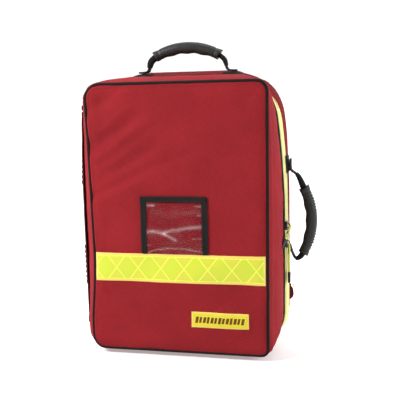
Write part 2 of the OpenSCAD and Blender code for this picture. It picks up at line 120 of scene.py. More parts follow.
# ---------------------------------------------------------------- meshes
class Shape:
    """Collects grids, sweeps and small parts in millimetres, with metric UVs, for one piece."""

    def __init__(self):
        self.v, self.f, self.uv, self.m, self.n = [], [], [], [], 0
        self.extra = {}

    def grid(self, P, ci=False, cj=False, mat=0, uv=None):
        P = np.asarray(P, float)
        n, m = P.shape[:2]
        i, j = np.meshgrid(np.arange(n if ci else n - 1), np.arange(m if cj else m - 1), indexing="ij")
        i, j = i.ravel(), j.ravel()
        i2, j2 = (i + 1) % n, (j + 1) % m
        q = np.stack([i * m + j, i2 * m + j, i2 * m + j2, i * m + j2], 1) + self.n
        if uv is None:
            pi_, pj = np.concatenate([P, P[:1]], 0), np.concatenate([P, P[:, :1]], 1)
            U, V = np.zeros((n + 1, m)), np.zeros((n, m + 1))
            U[1:] = np.cumsum(np.linalg.norm(np.diff(pi_, axis=0), axis=2), 0)
            V[:, 1:] = np.cumsum(np.linalg.norm(np.diff(pj, axis=1), axis=2), 1)
            uu = np.stack([U[i, j], U[i + 1, j], U[i + 1, j2], U[i, j2]], 1)
            vv = np.stack([V[i, j], V[i2, j], V[i2, j + 1], V[i, j + 1]], 1)
            c = np.stack([uu, vv], 2)
        else:
            c = np.stack([uv[i, j], uv[i2, j], uv[i2, j2], uv[i, j2]], 1)
        mi = np.full(len(q), mat) if np.isscalar(mat) else np.asarray(mat)[i, j]
        self.v.append(P.reshape(-1, 3))
        self.f += q.tolist()
        self.uv += list(c)
        self.m += mi.tolist()
        start = self.n
        self.n += n * m
        return start

    def fan(self, ring, mat=0, lift=(0, 0, 0)):
        """Closes a ring of vertex numbers with a fan to its middle."""
        allv = np.concatenate(self.v)
        p = allv[ring]
        c = p.mean(0) + np.array(lift)
        self.v = [allv, c[None]]
        k = self.n
        self.n += 1
        a = unit((p[0] - p.mean(0))[None])[0]
        nrm = unit(np.cross(p[len(p) // 4] - c, p[0] - c)[None])[0]
        b = np.cross(nrm, a)
        for x in range(len(ring)):
            y = (x + 1) % len(ring)
            self.f.append([ring[x], ring[y], k])
            self.uv.append(np.array([[(p[x] - c) @ a, (p[x] - c) @ b], [(p[y] - c) @ a, (p[y] - c) @ b], [0, 0]]))
            self.m.append(mat)

    def add(self, V, F, mat=0, uv=None):
        V = np.asarray(V, float)
        for f in F:
            self.f.append([x + self.n for x in f])
            p = V[list(f)]
            if uv is not None:
                self.uv.append(uv[list(f)])
            else:
                nrm = np.abs(np.cross(p[1] - p[0], p[2] - p[0]))
                k = int(np.argmax(nrm))
                self.uv.append(np.delete(p, k, axis=1))
            self.m.append(mat)
        self.v.append(V)
        self.n += len(V)

    def stamp(self, part, origins, ax, ay, az, mat=0, scale=None):
        """Copies a small part to many places with axes ax, ay, az."""
        V, F = part
        V = np.asarray(V, float)
        n = len(origins)
        if n == 0:
            return
        S = np.ones((n, 3)) if scale is None else np.asarray(scale, float)
        P = (
            origins[:, None, :]
            + V[None, :, 0:1] * (ax * S[:, 0:1])[:, None, :]
            + V[None, :, 1:2] * (ay * S[:, 1:2])[:, None, :]
            + V[None, :, 2:3] * (az * S[:, 2:3])[:, None, :]
        )
        base = []
        for f in F:
            p = V[list(f)]
            k = int(np.argmax(np.abs(np.cross(p[1] - p[0], p[2] - p[0]))))
            base.append(np.delete(p, k, axis=1))
        for a in range(n):
            o = self.n + a * len(V)
            self.f += [[x + o for x in f] for f in F]
            self.uv += base
            self.m += [mat] * len(F)
        self.v.append(P.reshape(-1, 3))
        self.n += n * len(V)

    def sweep(self, P, prof, side, norm, closed=False, mat=0, scale=None, lift=0.0):
        """Sweeps a closed profile of (across, out) along P with axes side and norm."""
        P, side, norm = (np.asarray(x, float) for x in (P, side, norm))
        prof = np.asarray(prof, float)
        if prof.ndim == 2:
            prof = np.broadcast_to(prof, (len(P),) + prof.shape)
        s = np.ones((len(P), 2)) if scale is None else np.asarray(scale, float)
        if s.ndim == 1:
            s = np.stack([s, s], 1)
        G = P[:, None] + prof[:, :, 0:1] * s[:, None, 0:1] * side[:, None] + prof[:, :, 1:2] * s[:, None, 1:2] * norm[:, None]
        a = self.grid(G, ci=closed, cj=True, mat=mat)
        if not closed:
            m = prof.shape[1]
            t = tangents(P)
            self.fan(list(range(a, a + m)), mat, -t[0] * lift)
            self.fan(list(range(a + (len(P) - 1) * m, a + len(P) * m)), mat, t[-1] * lift)

    def tube(self, P, r, sides=12, closed=False, up=(0, 1, 0), mat=0, lift=None):
        P = np.asarray(P, float)
        t = tangents(P, closed)
        u = np.broadcast_to(np.asarray(up, float), P.shape)
        a = unit(np.cross(t, u))
        b = np.cross(a, t)
        k = np.arange(sides) * 2 * pi / sides
        rr = np.full(len(P), float(r)) if np.isscalar(r) else np.asarray(r)
        self.sweep(P, np.stack([cos(k), sin(k)], 1), a, b, closed, mat, rr, (rr.mean() * 0.5 if lift is None else lift))

    def make(self, name, mats, body=None, stand=(), slot=None, smooth=True, sharp=None, fix=True):
        V = np.concatenate(self.v) * MM
        me = bpy.data.meshes.new(name)
        me.from_pydata(V.tolist(), [], self.f)
        layer = me.uv_layers.new(name="UVMap")
        layer.data.foreach_set("uv", np.concatenate([np.asarray(u, float) for u in self.uv]).astype(np.float32).ravel())
        me.polygons.foreach_set("material_index", np.array(self.m, np.int32))
        for key, val in self.extra.items():
            at = me.attributes.new(key, "FLOAT", "POINT")
            at.data.foreach_set("value", np.asarray(val, np.float32))
        for x in mats if isinstance(mats, (list, tuple)) else [mats]:
            me.materials.append(x)
        me.polygons.foreach_set("use_smooth", np.full(len(me.polygons), smooth))
        me.update()
        if fix:
            bm = bmesh.new()
            bm.from_mesh(me)
            bmesh.ops.recalc_face_normals(bm, faces=bm.faces)
            bm.to_mesh(me)
            bm.free()
        if sharp is not None:
            me.set_sharp_from_angle(angle=math.radians(sharp))
        o = bpy.data.objects.new(name, me)
        bpy.context.scene.collection.objects.link(o)
        if body:
            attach(o, body)
        if stand:
            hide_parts(*stand)
        return o


def boxy(size, r, seg=2, taper=None):
    """A box of size (x, y, z) with rounded edges, as vertices and faces."""
    bm = bmesh.new()
    bmesh.ops.create_cube(bm, size=1)
    for v in bm.verts:
        v.co = Vector((v.co.x * size[0], v.co.y * size[1], v.co.z * size[2]))
        if taper and v.co.z > 0:
            v.co.x *= taper[0]
            v.co.y *= taper[1]
    bmesh.ops.bevel(bm, geom=list(bm.edges), offset=r, segments=seg, affect="EDGES", profile=0.5)
    V = np.array([v.co for v in bm.verts])
    F = [[v.index for v in f.verts] for f in bm.faces]
    bm.free()
    return V, F


def capsule(l, r, sides=6):
    """A thread stitch along X with blunt ends, half of it meant to sink in."""
    xs, rs = [-0.5, -0.38, 0.38, 0.5], [0.45, 1, 1, 0.45]
    V, F = [], []
    for x, q in zip(xs, rs):
        for k in range(sides):
            a = 2 * pi * k / sides
            V.append([x * l, r * q * math.cos(a) * 1.25, r * q * math.sin(a)])
    for i in range(3):
        for k in range(sides):
            F.append([i * sides + k, i * sides + (k + 1) % sides, (i + 1) * sides + (k + 1) % sides, (i + 1) * sides + k])
    F.append(list(range(sides))[::-1])
    F.append([3 * sides + k for k in range(sides)])
    return np.array(V), F


def rounded(w, t, r, n=3):
    """Profile of a flat strap: w across, t thick, with rounded edges."""
    out = []
    for sx, sy, a0 in ((1, 1, 0), (-1, 1, 90), (-1, -1, 180), (1, -1, 270)):
        for k in range(n + 1):
            a = math.radians(a0 + 90 * k / n)
            out.append([sx * (w / 2 - r) + r * math.cos(a), sy * (t / 2 - r) + r * math.sin(a)])
        if sy == 1 and sx == 1 or sy == -1 and sx == -1:
            x0 = sx * (w / 2 - r)
            for q in (0.5, 0, -0.5):
                out.append([x0 * q * 1.0, sy * t / 2])
    return np.array(out)


def strap(S, P, norm, w, t, mat=0, scale=None, r=None):
    """Webbing along P, with the flat side facing norm."""
    P = np.asarray(P, float)
    norm = np.broadcast_to(np.asarray(norm, float), P.shape)
    tan = tangents(P)
    side = unit(np.cross(tan, norm))
    nn = np.cross(side, tan)
    S.sweep(P, rounded(w, t, r or t * 0.45), side, nn, mat=mat, scale=scale)


STITCH = capsule(1.0, 1.0)


def stitches(S, P, norm, length=2.9, gap=1.3, r=0.33, closed=False, mat=0, sink=0.05):
    P = np.asarray(P, float)
    Q = resample(P, (length + gap) / 2, closed)
    if closed and len(Q) % 2:
        Q = Q[:-1]
    t = tangents(Q, closed)
    nrm = np.asarray(norm, float)
    if nrm.ndim == 2:
        idx = np.linspace(0, len(nrm) - 1, len(Q))
        nrm = np.stack([np.interp(idx, np.arange(len(nrm)), nrm[:, k]) for k in range(3)], 1)
    else:
        nrm = np.broadcast_to(nrm, Q.shape)
    sel = np.arange(0, len(Q), 2)
    q, t, nrm = Q[sel], t[sel], unit(nrm[sel])
    side = unit(np.cross(nrm, t))
    t = unit(np.cross(side, nrm))
    wob = RNG.normal(0, 0.05, len(q))[:, None]
    t2, s2 = t + side * wob, side - t * wob
    n = len(q)
    S.stamp(STITCH, q + nrm * (r - sink) * 0.4, t2, s2, nrm, mat, np.tile([length, r, r], (n, 1)))


# ---------------------------------------------------------------- materials
class Net:
    """A material's nodes. UV coordinates are millimetres on the piece."""

    def __init__(self, name):
        self.mat = bpy.data.materials.new(name)
        self.mat.use_nodes = True
        self.t = self.mat.node_tree
        self.t.nodes.clear()
        self.out = self.t.nodes.new("ShaderNodeOutputMaterial")
        self.b = self.t.nodes.new("ShaderNodeBsdfPrincipled")
        self.t.links.new(self.b.outputs[0], self.out.inputs[0])

    def put(self, sock, val):
        if isinstance(val, bpy.types.NodeSocket):
            self.t.links.new(val, sock)
        elif val is not None:
            sock.default_value = val

    def uv(self, su=1.0, sv=1.0, rot=0.0):
        u = self.t.nodes.new("ShaderNodeUVMap")
        u.uv_map = "UVMap"
        m = self.t.nodes.new("ShaderNodeMapping")
        self.t.links.new(u.outputs[0], m.inputs["Vector"])
        m.inputs["Scale"].default_value = (su, sv, 1)
        m.inputs["Rotation"].default_value = (0, 0, rot)
        return m.outputs[0]

    def obj(self, s=1.0):
        c = self.t.nodes.new("ShaderNodeTexCoord")
        m = self.t.nodes.new("ShaderNodeMapping")
        self.t.links.new(c.outputs["Object"], m.inputs["Vector"])
        m.inputs["Scale"].default_value = (s, s, s)
        return m.outputs[0]

    def attr(self, name):
        a = self.t.nodes.new("ShaderNodeAttribute")
        a.attribute_name = name
        return a.outputs["Fac"]

    def xy(self, vec):
        s = self.t.nodes.new("ShaderNodeSeparateXYZ")
        self.t.links.new(vec, s.inputs[0])
        return s.outputs[0], s.outputs[1]

    def math(self, op, a, b=None, c=None, clamp=False):
        m = self.t.nodes.new("ShaderNodeMath")
        m.operation = op
        m.use_clamp = clamp
        self.put(m.inputs[0], a)
        self.put(m.inputs[1], b)
        self.put(m.inputs[2], c)
        return m.outputs[0]

    def ramp(self, x, lo, hi, a=0.0, b=1.0):
        m = self.t.nodes.new("ShaderNodeMapRange")
        m.interpolation_type = "SMOOTHSTEP"
        for k, v in (("Value", x), ("From Min", lo), ("From Max", hi), ("To Min", a), ("To Max", b)):
            self.put(m.inputs[k], v)
        return m.outputs[0]

    def noise(self, vec, scale, detail=2.0, rough=0.5):
        n = self.t.nodes.new("ShaderNodeTexNoise")
        self.put(n.inputs["Vector"], vec)
        n.inputs["Scale"].default_value = scale
        n.inputs["Detail"].default_value = detail
        n.inputs["Roughness"].default_value = rough
        return n.outputs["Fac"]

    def wave(self, vec, period, axis="X"):
        w = self.t.nodes.new("ShaderNodeTexWave")
        w.bands_direction = axis
        self.put(w.inputs["Vector"], vec)
        w.inputs["Scale"].default_value = 2 * math.pi / 20 / period
        w.inputs["Distortion"].default_value = 0
        return w.outputs["Fac"]

    def check(self, vec, cell):
        c = self.t.nodes.new("ShaderNodeTexChecker")
        self.put(c.inputs["Vector"], vec)
        c.inputs["Scale"].default_value = 1 / cell
        return c.outputs["Fac"]

    def mixf(self, f, a, b):
        m = self.t.nodes.new("ShaderNodeMix")
        m.data_type = "FLOAT"
        for s, v in zip([m.inputs[0], m.inputs[2], m.inputs[3]], (f, a, b)):
            self.put(s, v)
        return m.outputs[0]

    def mixc(self, f, a, b, mode="MIX"):
        m = self.t.nodes.new("ShaderNodeMix")
        m.data_type = "RGBA"
        m.blend_type = mode
        m.clamp_factor = True
        for s, v in zip([m.inputs[0], m.inputs[6], m.inputs[7]], (f, rgba(a), rgba(b))):
            self.put(s, v)
        return m.outputs[2]

    def bump(self, h, mm, strength=1.0, normal=None):
        b = self.t.nodes.new("ShaderNodeBump")
        b.inputs["Distance"].default_value = mm * MM
        b.inputs["Strength"].default_value = strength
        self.put(b.inputs["Height"], h)
        if normal is not None:
            self.put(b.inputs["Normal"], normal)
        return b.outputs[0]

    def set(self, **kw):
        for k, v in kw.items():
            name = {"color": "Base Color", "rough": "Roughness", "metal": "Metallic", "spec": "Specular IOR Level",
                    "sheen": "Sheen Weight", "sheen_rough": "Sheen Roughness", "sheen_tint": "Sheen Tint",
                    "coat": "Coat Weight", "coat_rough": "Coat Roughness", "alpha": "Alpha", "normal": "Normal",
                    "ior": "IOR", "aniso": "Anisotropic"}[k]
            self.put(self.b.inputs[name], rgba(v) if k in ("color", "sheen_tint") else v)
        return self.mat


def lin(c):
    c = c / 255
    return c / 12.92 if c <= 0.04045 else ((c + 0.055) / 1.055) ** 2.4


def srgb(r, g, b):
    return (lin(r), lin(g), lin(b), 1.0)


def rgba(c):
    if isinstance(c, bpy.types.NodeSocket) or c is None:
        return c
    return tuple(c) if len(c) == 4 else (*c, 1.0)


def dim(c, k):
    return (c[0] * k, c[1] * k, c[2] * k, 1.0)


def woven(name, col, pu=1.0, pv=1.0, depth=0.10, dark=0.72, vary=0.12, blotch=0.10, rough=0.82, spec=0.16, sheen=0.04,
          tint=None, large=0.018, fine=1.0, twill=False):
    """Plain-weave cloth: threads pu and pv millimetres apart, uneven yarn, faint clouding, and painted shade: the
    valleys between threads darkened to the factor dark, the crowns a touch lighter.
    """
    n = Net(name)
    uv = n.uv(1 / pu, 1 / pv)
    ca, cb = n.wave(uv, 1.0, "X"), n.wave(uv, 1.0, "Y")
    if twill:
        u, v = n.xy(uv)
        sel = n.math("LESS_THAN", n.math("FRACT", n.math("DIVIDE", n.math("ADD", u, v), 3.0)), 0.5)
    else:
        sel = n.check(uv, 1.0)
    h = n.mixf(sel, ca, cb)
    base = n.uv()
    yarn = n.noise(n.uv(1 / pu * 0.9, 1 / pv * 0.12), 1.0 * fine, 2.0)
    yarn2 = n.noise(n.uv(1 / pu * 0.12, 1 / pv * 0.9), 1.0 * fine, 2.0)
    cloud = n.noise(base, large, 3.0, 0.55)
    # painted shade: colour darkens in the weave's valleys, where the threads dip
    amount = n.ramp(h, 0.0, 1.0, dark, 1.06)
    amount = n.math("MULTIPLY", amount, n.ramp(n.mixf(sel, yarn, yarn2), 0.25, 0.75, 1 - vary, 1 + vary))
    amount = n.math("MULTIPLY", amount, n.ramp(cloud, 0.3, 0.7, 1 - blotch, 1 + blotch))
    vec = n.t.nodes.new("ShaderNodeVectorMath")
    vec.operation = "SCALE"
    vec.inputs[0].default_value = col[:3]
    n.put(vec.inputs["Scale"], amount)
    n.set(color=vec.outputs[0], rough=rough, spec=spec, sheen=sheen, sheen_rough=0.5,
          sheen_tint=tint or (min(1, col[0] * 1.6 + 0.1), min(1, col[1] * 1.6 + 0.05), min(1, col[2] * 1.6 + 0.05)),
          normal=n.bump(h, depth))
    return n.mat


def moulded(name, col, rough=0.5, spec=0.35, grain=0.9, depth=0.03, vary=0.12, metal=0.0, coat=0.0):
    """Moulded rubber, plastic or cast metal with a fine grain and slight wear."""
    n = Net(name)
    g = n.noise(n.obj(1000.0), 1 / grain, 3.0, 0.6)
    w = n.noise(n.obj(1000.0), 0.06, 4.0, 0.6)
    vec = n.t.nodes.new("ShaderNodeVectorMath")
    vec.operation = "SCALE"
    vec.inputs[0].default_value = col[:3]
    n.put(vec.inputs["Scale"], n.math("MULTIPLY", n.ramp(w, 0.3, 0.7, 1 - vary, 1 + vary), n.ramp(g, 0.3, 0.7, 0.93, 1.07)))
    n.set(color=vec.outputs[0], rough=n.ramp(w, 0.3, 0.7, rough - 0.07, rough + 0.08), spec=spec, metal=metal,
          coat=coat, coat_rough=0.3, normal=n.bump(g, depth))
    return n.mat


RED = (0.282, 0.0160, 0.0207, 1.0)
# painted light: a lighter copy of the red cloth, standing for the extra light the lid's walls catch
RED_LIT_COPY = (0.325, 0.0205, 0.0265, 1.0)
BLACK = (0.0085, 0.0078, 0.0080, 1.0)
LIME = (0.640, 0.720, 0.045, 1.0)
# painted shade: the red cloth darkened to how it looks in shade, used for the lid's side patch and the lower corner
# tabs
RED_IN_PAINTED_SHADE = (0.105, 0.012, 0.016, 1.0)
GREY = (0.105, 0.108, 0.115, 1.0)

M = {
    "front": woven("red_cordura", RED, 1.15, 1.15, depth=0.16, dark=0.70, vary=0.13, blotch=0.07, large=0.012, sheen=0.03, spec=0.10, rough=0.88),
    # painted light: the lid's walls use the lighter copy of the red cloth
    "side": woven("red_cordura_lit_copy", RED_LIT_COPY, 1.15, 1.15, depth=0.16, dark=0.70, vary=0.13, blotch=0.07, large=0.012, sheen=0.05, spec=0.12, rough=0.86),
    # painted shade: a darker copy of the red cloth for the rear wall and the hinge strip, standing for the shade they
    # sit in
    "rear": woven("red_cordura_shaded_copy", dim(RED, 0.80), 1.15, 1.15, depth=0.16, dark=0.70, vary=0.13, blotch=0.08, large=0.012, sheen=0.02, spec=0.10, rough=0.88),
    "lining": woven("grey_lining_nylon", GREY, 0.8, 0.8, depth=0.06, dark=0.8, vary=0.08, rough=0.7, spec=0.25, sheen=0.05),
    # painted reflection: the piping's black carries a faint red, standing for the red cloth reflected in it
    "piping": woven("black_piping_cover", (0.0085, 0.0045, 0.0045, 1), 0.9, 0.9, depth=0.10, vary=0.2, rough=0.62, spec=0.14, sheen=0.0),
    "binding": woven("black_grosgrain", BLACK, 0.55, 1.5, depth=0.14, dark=0.6, vary=0.2, rough=0.75, spec=0.20, sheen=0.0),
    "webbing": woven("black_webbing_weave", (0.016, 0.0155, 0.016, 1), 1.1, 2.1, depth=0.25, dark=0.55, vary=0.22, rough=0.7, spec=0.22, sheen=0.01, twill=False),
    "elastic": woven("black_elastic_weave", (0.018, 0.018, 0.019, 1), 0.8, 1.6, depth=0.2, dark=0.5, rough=0.75, spec=0.2, sheen=0.0),
    "red_shade_painted": woven("red_webbing_painted_shade", RED_IN_PAINTED_SHADE, 1.0, 1.9, depth=0.2, dark=0.6, vary=0.15, rough=0.8, spec=0.12, sheen=0.0),
    "zip": woven("lime_zip_tape", (0.90, 0.86, 0.36, 1), 0.6, 1.1, depth=0.08, dark=0.8, vary=0.08, blotch=0.05, rough=0.8, spec=0.12, sheen=0.0),
    "zipblack": woven("black_zip_tape", BLACK, 0.6, 1.1, depth=0.08, dark=0.7, vary=0.15, rough=0.75, spec=0.2, sheen=0.0),
    "cord": woven("lime_braided_cord", (0.80, 0.84, 0.20, 1), 0.7, 0.7, depth=0.15, dark=0.6, vary=0.1, rough=0.75, spec=0.15, sheen=0.0),
    "pouch": woven("red_pouch_nylon", dim(RED, 0.95), 0.9, 0.9, depth=0.10, dark=0.75, vary=0.1, rough=0.78, spec=0.16, sheen=0.03),
    "backcloth": woven("black_back_cordura", (0.014, 0.0135, 0.0145, 1), 1.15, 1.15, depth=0.16, dark=0.65, vary=0.2, rough=0.8, spec=0.2, sheen=0.01),
    "strapcloth": woven("black_strap_cordura", (0.016, 0.0155, 0.0165, 1), 1.0, 1.0, depth=0.14, dark=0.65, vary=0.2, rough=0.8, spec=0.2, sheen=0.01),
    "thread_red": woven("dark_red_thread", (0.16, 0.014, 0.018, 1), 0.3, 0.3, depth=0.04, rough=0.7, spec=0.2, sheen=0.0),
    "thread_black": woven("black_thread", (0.02, 0.02, 0.02, 1), 0.3, 0.3, depth=0.04, rough=0.6, spec=0.25, sheen=0.0),
    "thread_lime": woven("pale_yellow_thread", (0.80, 0.66, 0.24, 1), 0.3, 0.3, depth=0.04, rough=0.7, spec=0.15, sheen=0.0),
    "teeth": moulded("black_zip_plastic", (0.014, 0.014, 0.014, 1), rough=0.38, spec=0.4),
    "metal": moulded("black_painted_zinc", (0.022, 0.022, 0.023, 1), rough=0.33, spec=0.5, metal=0.0, coat=0.25),
    "silver": moulded("nickel_ring", (0.45, 0.45, 0.46, 1), rough=0.3, metal=1.0),
    "rubber": moulded("black_skid_rubber", (0.017, 0.0165, 0.017, 1), rough=0.62, spec=0.3, depth=0.05),
    "base": moulded("black_base_rubber", (0.016, 0.016, 0.017, 1), rough=0.68, spec=0.28, grain=1.6, depth=0.12),
    "grip": moulded("grip_rubber_soft", (0.0185, 0.0182, 0.0178, 1), rough=0.50, spec=0.32, grain=0.5, depth=0.035, coat=0.04),
    "plastic": moulded("buckle_acetal", (0.016, 0.016, 0.017, 1), rough=0.36, spec=0.4, depth=0.02),
    "pull": moulded("pull_end_rubber", (0.030, 0.016, 0.014, 1), rough=0.5, spec=0.3),
    "tab": woven("amber_label_tape", (0.78, 0.42, 0.05, 1), 0.6, 0.9, depth=0.08, dark=0.8, rough=0.75, spec=0.15, sheen=0.0),
}


def tape_material():
    """Prismatic reflective tape: a fine diamond lattice in lime film with pale crossed welds and stitched borders."""
    n = Net("lime_reflective_tape")
    u, v = n.xy(n.uv())
    av = n.math("ABSOLUTE", v)
    a = n.math("ABSOLUTE", n.math("SUBTRACT", n.math("FLOORED_MODULO", n.math("ADD", u, 8.5), 42.0), 21.0))
    d = n.math("ABSOLUTE", n.math("SUBTRACT", a, n.math("MULTIPLY", av, 0.80)))
    cross = n.ramp(d, 0.55, 1.5, 1.0, 0.0)
    inside = n.math("LESS_THAN", av, 21.2)
    cross = n.math("MULTIPLY", cross, inside)
    tri = n.ramp(n.math("SUBTRACT", a, n.math("MULTIPLY", av, 0.80)), -1.5, 1.5)
    lat = n.uv(1.0, 1.0, math.radians(45))
    prism = n.mixf(n.check(lat, 1.5), n.wave(lat, 1.5, "X"), n.wave(lat, 1.5, "Y"))
    cloud = n.noise(n.uv(), 0.05, 3.0)
    col = n.mixc(tri, (0.600, 0.610, 0.050), (0.540, 0.650, 0.034))
    col = n.mixc(n.ramp(cloud, 0.35, 0.65, 0.0, 0.5), col, (0.650, 0.610, 0.055))
    # painted shade: darker in the hollows of the prism lattice
    col = n.mixc(n.ramp(prism, 0.2, 0.9, 0.28, 0.0), col, (0.36, 0.42, 0.02))
    col = n.mixc(n.math("MULTIPLY", cross, 0.75), col, (0.830, 0.840, 0.110))
    line = n.ramp(n.math("ABSOLUTE", n.math("SUBTRACT", av, 20.6)), 0.25, 0.9, 1.0, 0.0)
    col = n.mixc(n.math("MULTIPLY", line, 0.7), col, (0.82, 0.83, 0.13))
    edge = n.ramp(av, 21.8, 22.6, 0.0, 1.0)
    col = n.mixc(edge, col, (0.830, 0.600, 0.130))
    end = n.ramp(n.math("ABSOLUTE", u), 149.8, 151.0, 0.0, 1.0)
    col = n.mixc(n.math("MULTIPLY", end, 0.7), col, (0.84, 0.72, 0.20))
    h = n.math("ADD", n.math("MULTIPLY", prism, 0.5), n.math("MULTIPLY", cross, -0.8))
    n.set(color=col, rough=n.ramp(prism, 0, 1, 0.42, 0.34), spec=0.30, coat=0.05, coat_rough=0.25, normal=n.bump(h, 0.10))
    return n.mat


def label_material():
    n = Net("lime_label_weave")
    u, v = n.xy(n.uv())
    d = n.math("MINIMUM", n.math("SUBTRACT", 50.5, n.math("ABSOLUTE", u)), n.math("SUBTRACT", 14.0, n.math("ABSOLUTE", v)))
    w = n.uv(1 / 0.8, 1 / 0.8)
    h = n.mixf(n.check(w, 1.0), n.wave(w, 1.0, "X"), n.wave(w, 1.0, "Y"))
    cloud = n.noise(n.uv(), 0.09, 3.0)
    col = n.mixc(n.ramp(cloud, 0.35, 0.65), (0.740, 0.590, 0.048), (0.700, 0.620, 0.042))
    col = n.mixc(n.ramp(d, 1.6, 2.4, 1.0, 0.0), col, (0.840, 0.640, 0.150))
    # painted shade: darker in the weave's valleys
    col = n.mixc(n.ramp(h, 0, 1, 0.22, 0.0), col, (0.30, 0.26, 0.02))
    n.set(color=col, rough=0.7, spec=0.18, normal=n.bump(h, 0.07))
    return n.mat


def film_material(name, haze_and_highlight, color=(0.10, 0.018, 0.022), base=0.11):
    """Clear vinyl: nearly see-through; paler along its creases as painted highlight when the attribute is used, else
    with random pale haze.
    """
    n = Net(name)
    f = n.attr("HazeAndHighlight") if haze_and_highlight else n.ramp(n.noise(n.uv(), 0.03, 3.0), 0.4, 0.75)
    scuff = n.ramp(n.noise(n.uv(1.0, 0.35), 0.35, 4.0, 0.6), 0.55, 0.8, 0.0, 0.022)
    n.set(color=n.mixc(f, color, (0.95, 0.70, 0.70)), rough=0.20, spec=0.22,
          alpha=n.math("ADD", n.math("MULTIPLY_ADD", f, 0.26, base), scuff, clamp=True),
          normal=n.bump(n.noise(n.uv(), 0.12, 2.0), 0.25))
    n.mat.surface_render_method = "DITHERED"
    return n.mat


def mesh_material(name, col, pitch, hole, see=True):
    """Open knitted mesh: round holes in staggered rows, painted near-black as shade inside them; with see they are also
    cut out by alpha.
    """
    n = Net(name)
    w = n.uv(1 / pitch, 1 / pitch, math.radians(45))
    h = n.math("MULTIPLY", n.wave(w, 1.0, "X"), n.wave(w, 1.0, "Y"))
    k = n.ramp(h, hole, hole + 0.16, 1.0, 0.0)
    y = n.noise(n.uv(), 1.2, 2.0)
    # painted shade: holes and their rims take a near-black copy of the colour
    col2 = n.mixc(k, dim(col, 0.18), n.mixc(n.ramp(y, 0.3, 0.7), dim(col, 0.8), dim(col, 1.25)))
    n.set(color=col2, rough=0.8, spec=0.2, sheen=0.02, normal=n.bump(k, 0.35))
    if see:
        n.set(alpha=n.ramp(h, hole, hole + 0.1, 1.0, 0.0))
    return n.mat


M["tape"] = tape_material()
M["label"] = label_material()
M["film"] = film_material("clear_vinyl_window", True)
M["film_in"] = film_material("clear_vinyl_pouch", False, (0.75, 0.62, 0.62), 0.10)
M["netting"] = mesh_material("black_pocket_mesh", (0.022, 0.022, 0.023), 2.4, 0.42)
M["spacer"] = mesh_material("grey_spacer_mesh", (0.060, 0.061, 0.064), 3.6, 0.45, see=False)

# ---------------------------------------------------------------- the case's shape
NC, NB, NS, NT = 14, 26, 44, 26
FRONT_HW, FRONT_TOP = 157.0, 480.0


def outline(w, zt, zb, rt, rb, k, c=0.0, q=0.0):
    """The case's rounded outline from the lower left corner round by the right, (n, 2)."""
    def arc(cx, cz, r, a0, n):
        a = np.radians(a0 + 90 * np.arange(n + 1) / n)
        return np.stack([cx + r * cos(a), cz + r * sin(a)], 1)

    def line(a, b, n):
        t = np.arange(1, n)[:, None] / n
        return np.array(a) + (np.array(b) - np.array(a)) * t

    tl, tr, bl, br = rt * (1 + 0.08 * q), rt * (1 - 0.28 * q), rb * (1 + 0.08 * q), rb * (1 - 0.36 * q)
    p = np.concatenate([
        arc(-w + bl, zb + bl, bl, 180, NC), line((-w + bl, zb), (w - br, zb), NB),
        arc(w - br, zb + br, br, 270, NC), line((w, zb + br), (w, zt - tr), NS),
        arc(w - tr, zt - tr, tr, 0, NC), line((w - tr, zt), (-w + tl, zt), NT),
        arc(-w + tl, zt - tl, tl, 90, NC), line((-w, zt - tl), (-w, zb + bl), NS)])
    p[:, 0] *= 1 - k * 0.0004 * np.maximum(0, p[:, 1] - 250) ** 2 / w
    p[:, 0] += c
    return p


RN = len(outline(157, 480, 10, 48, 44, 0))
LID_ST = np.array([
    [-94, 158.5, 481, 9.5, 26, 20, 0.05, -0.5, 1], [-86, 165.5, 483.5, 7, 31, 26, 0.2, -2.4, 0.9], [-70, 172, 486, 5, 42, 38, 0.45, -3.6, 0.5],
    [-45, 177, 488.5, 3.8, 56, 50, 0.75, -3, 0.1], [-20, 179, 490.8, 3, 68, 58, 0.95, -2.4, 0], [-8, 180.2, 491.6, 2.8, 72, 60, 1, -2.2, 0]])
TRAY_ST = np.array([
    [8, 181, 493, 2.3, 76, 60, 1, -0.4, 0], [35, 182.2, 495.2, 2.2, 80, 60, 1, 0, 0], [65, 181.6, 498, 2.2, 80, 58, 1, 0, 0],
    [94, 179, 499, 2.4, 78, 56, 1, 0, 0]])


def station(st, y):
    """The station's numbers at depth y, on a smooth curve through the given ones."""
    ys = st[:, 0]
    k = int(np.clip(np.searchsorted(ys, y) - 1, 0, len(ys) - 2))
    h = ys[k + 1] - ys[k]
    t = np.clip((y - ys[k]) / h, 0, 1)
    out = []
    for c in range(1, 9):
        f = st[:, c]
        d = np.diff(f) / np.diff(ys)
        m0 = d[k] if k == 0 else (d[k - 1] + d[k]) / 2
        m1 = d[k] if k == len(ys) - 2 else (d[k] + d[k + 1]) / 2
        out.append((2 * t**3 - 3 * t * t + 1) * f[k] + (t**3 - 2 * t * t + t) * h * m0 + (3 * t * t - 2 * t**3) * f[k + 1]
                   + (t**3 - t * t) * h * m1)
    return out


DXZ = np.array([0, 10, 40, 64, 100, 133, 160, 188, 250, 312, 387, 443, 470, 490])
DXV = np.array([0, -0.6, -2.2, -2.2, 1.2, 3.9, 5.2, 5.9, 5.0, 4.0, 3.1, 1.0, 0.5, 0.3])


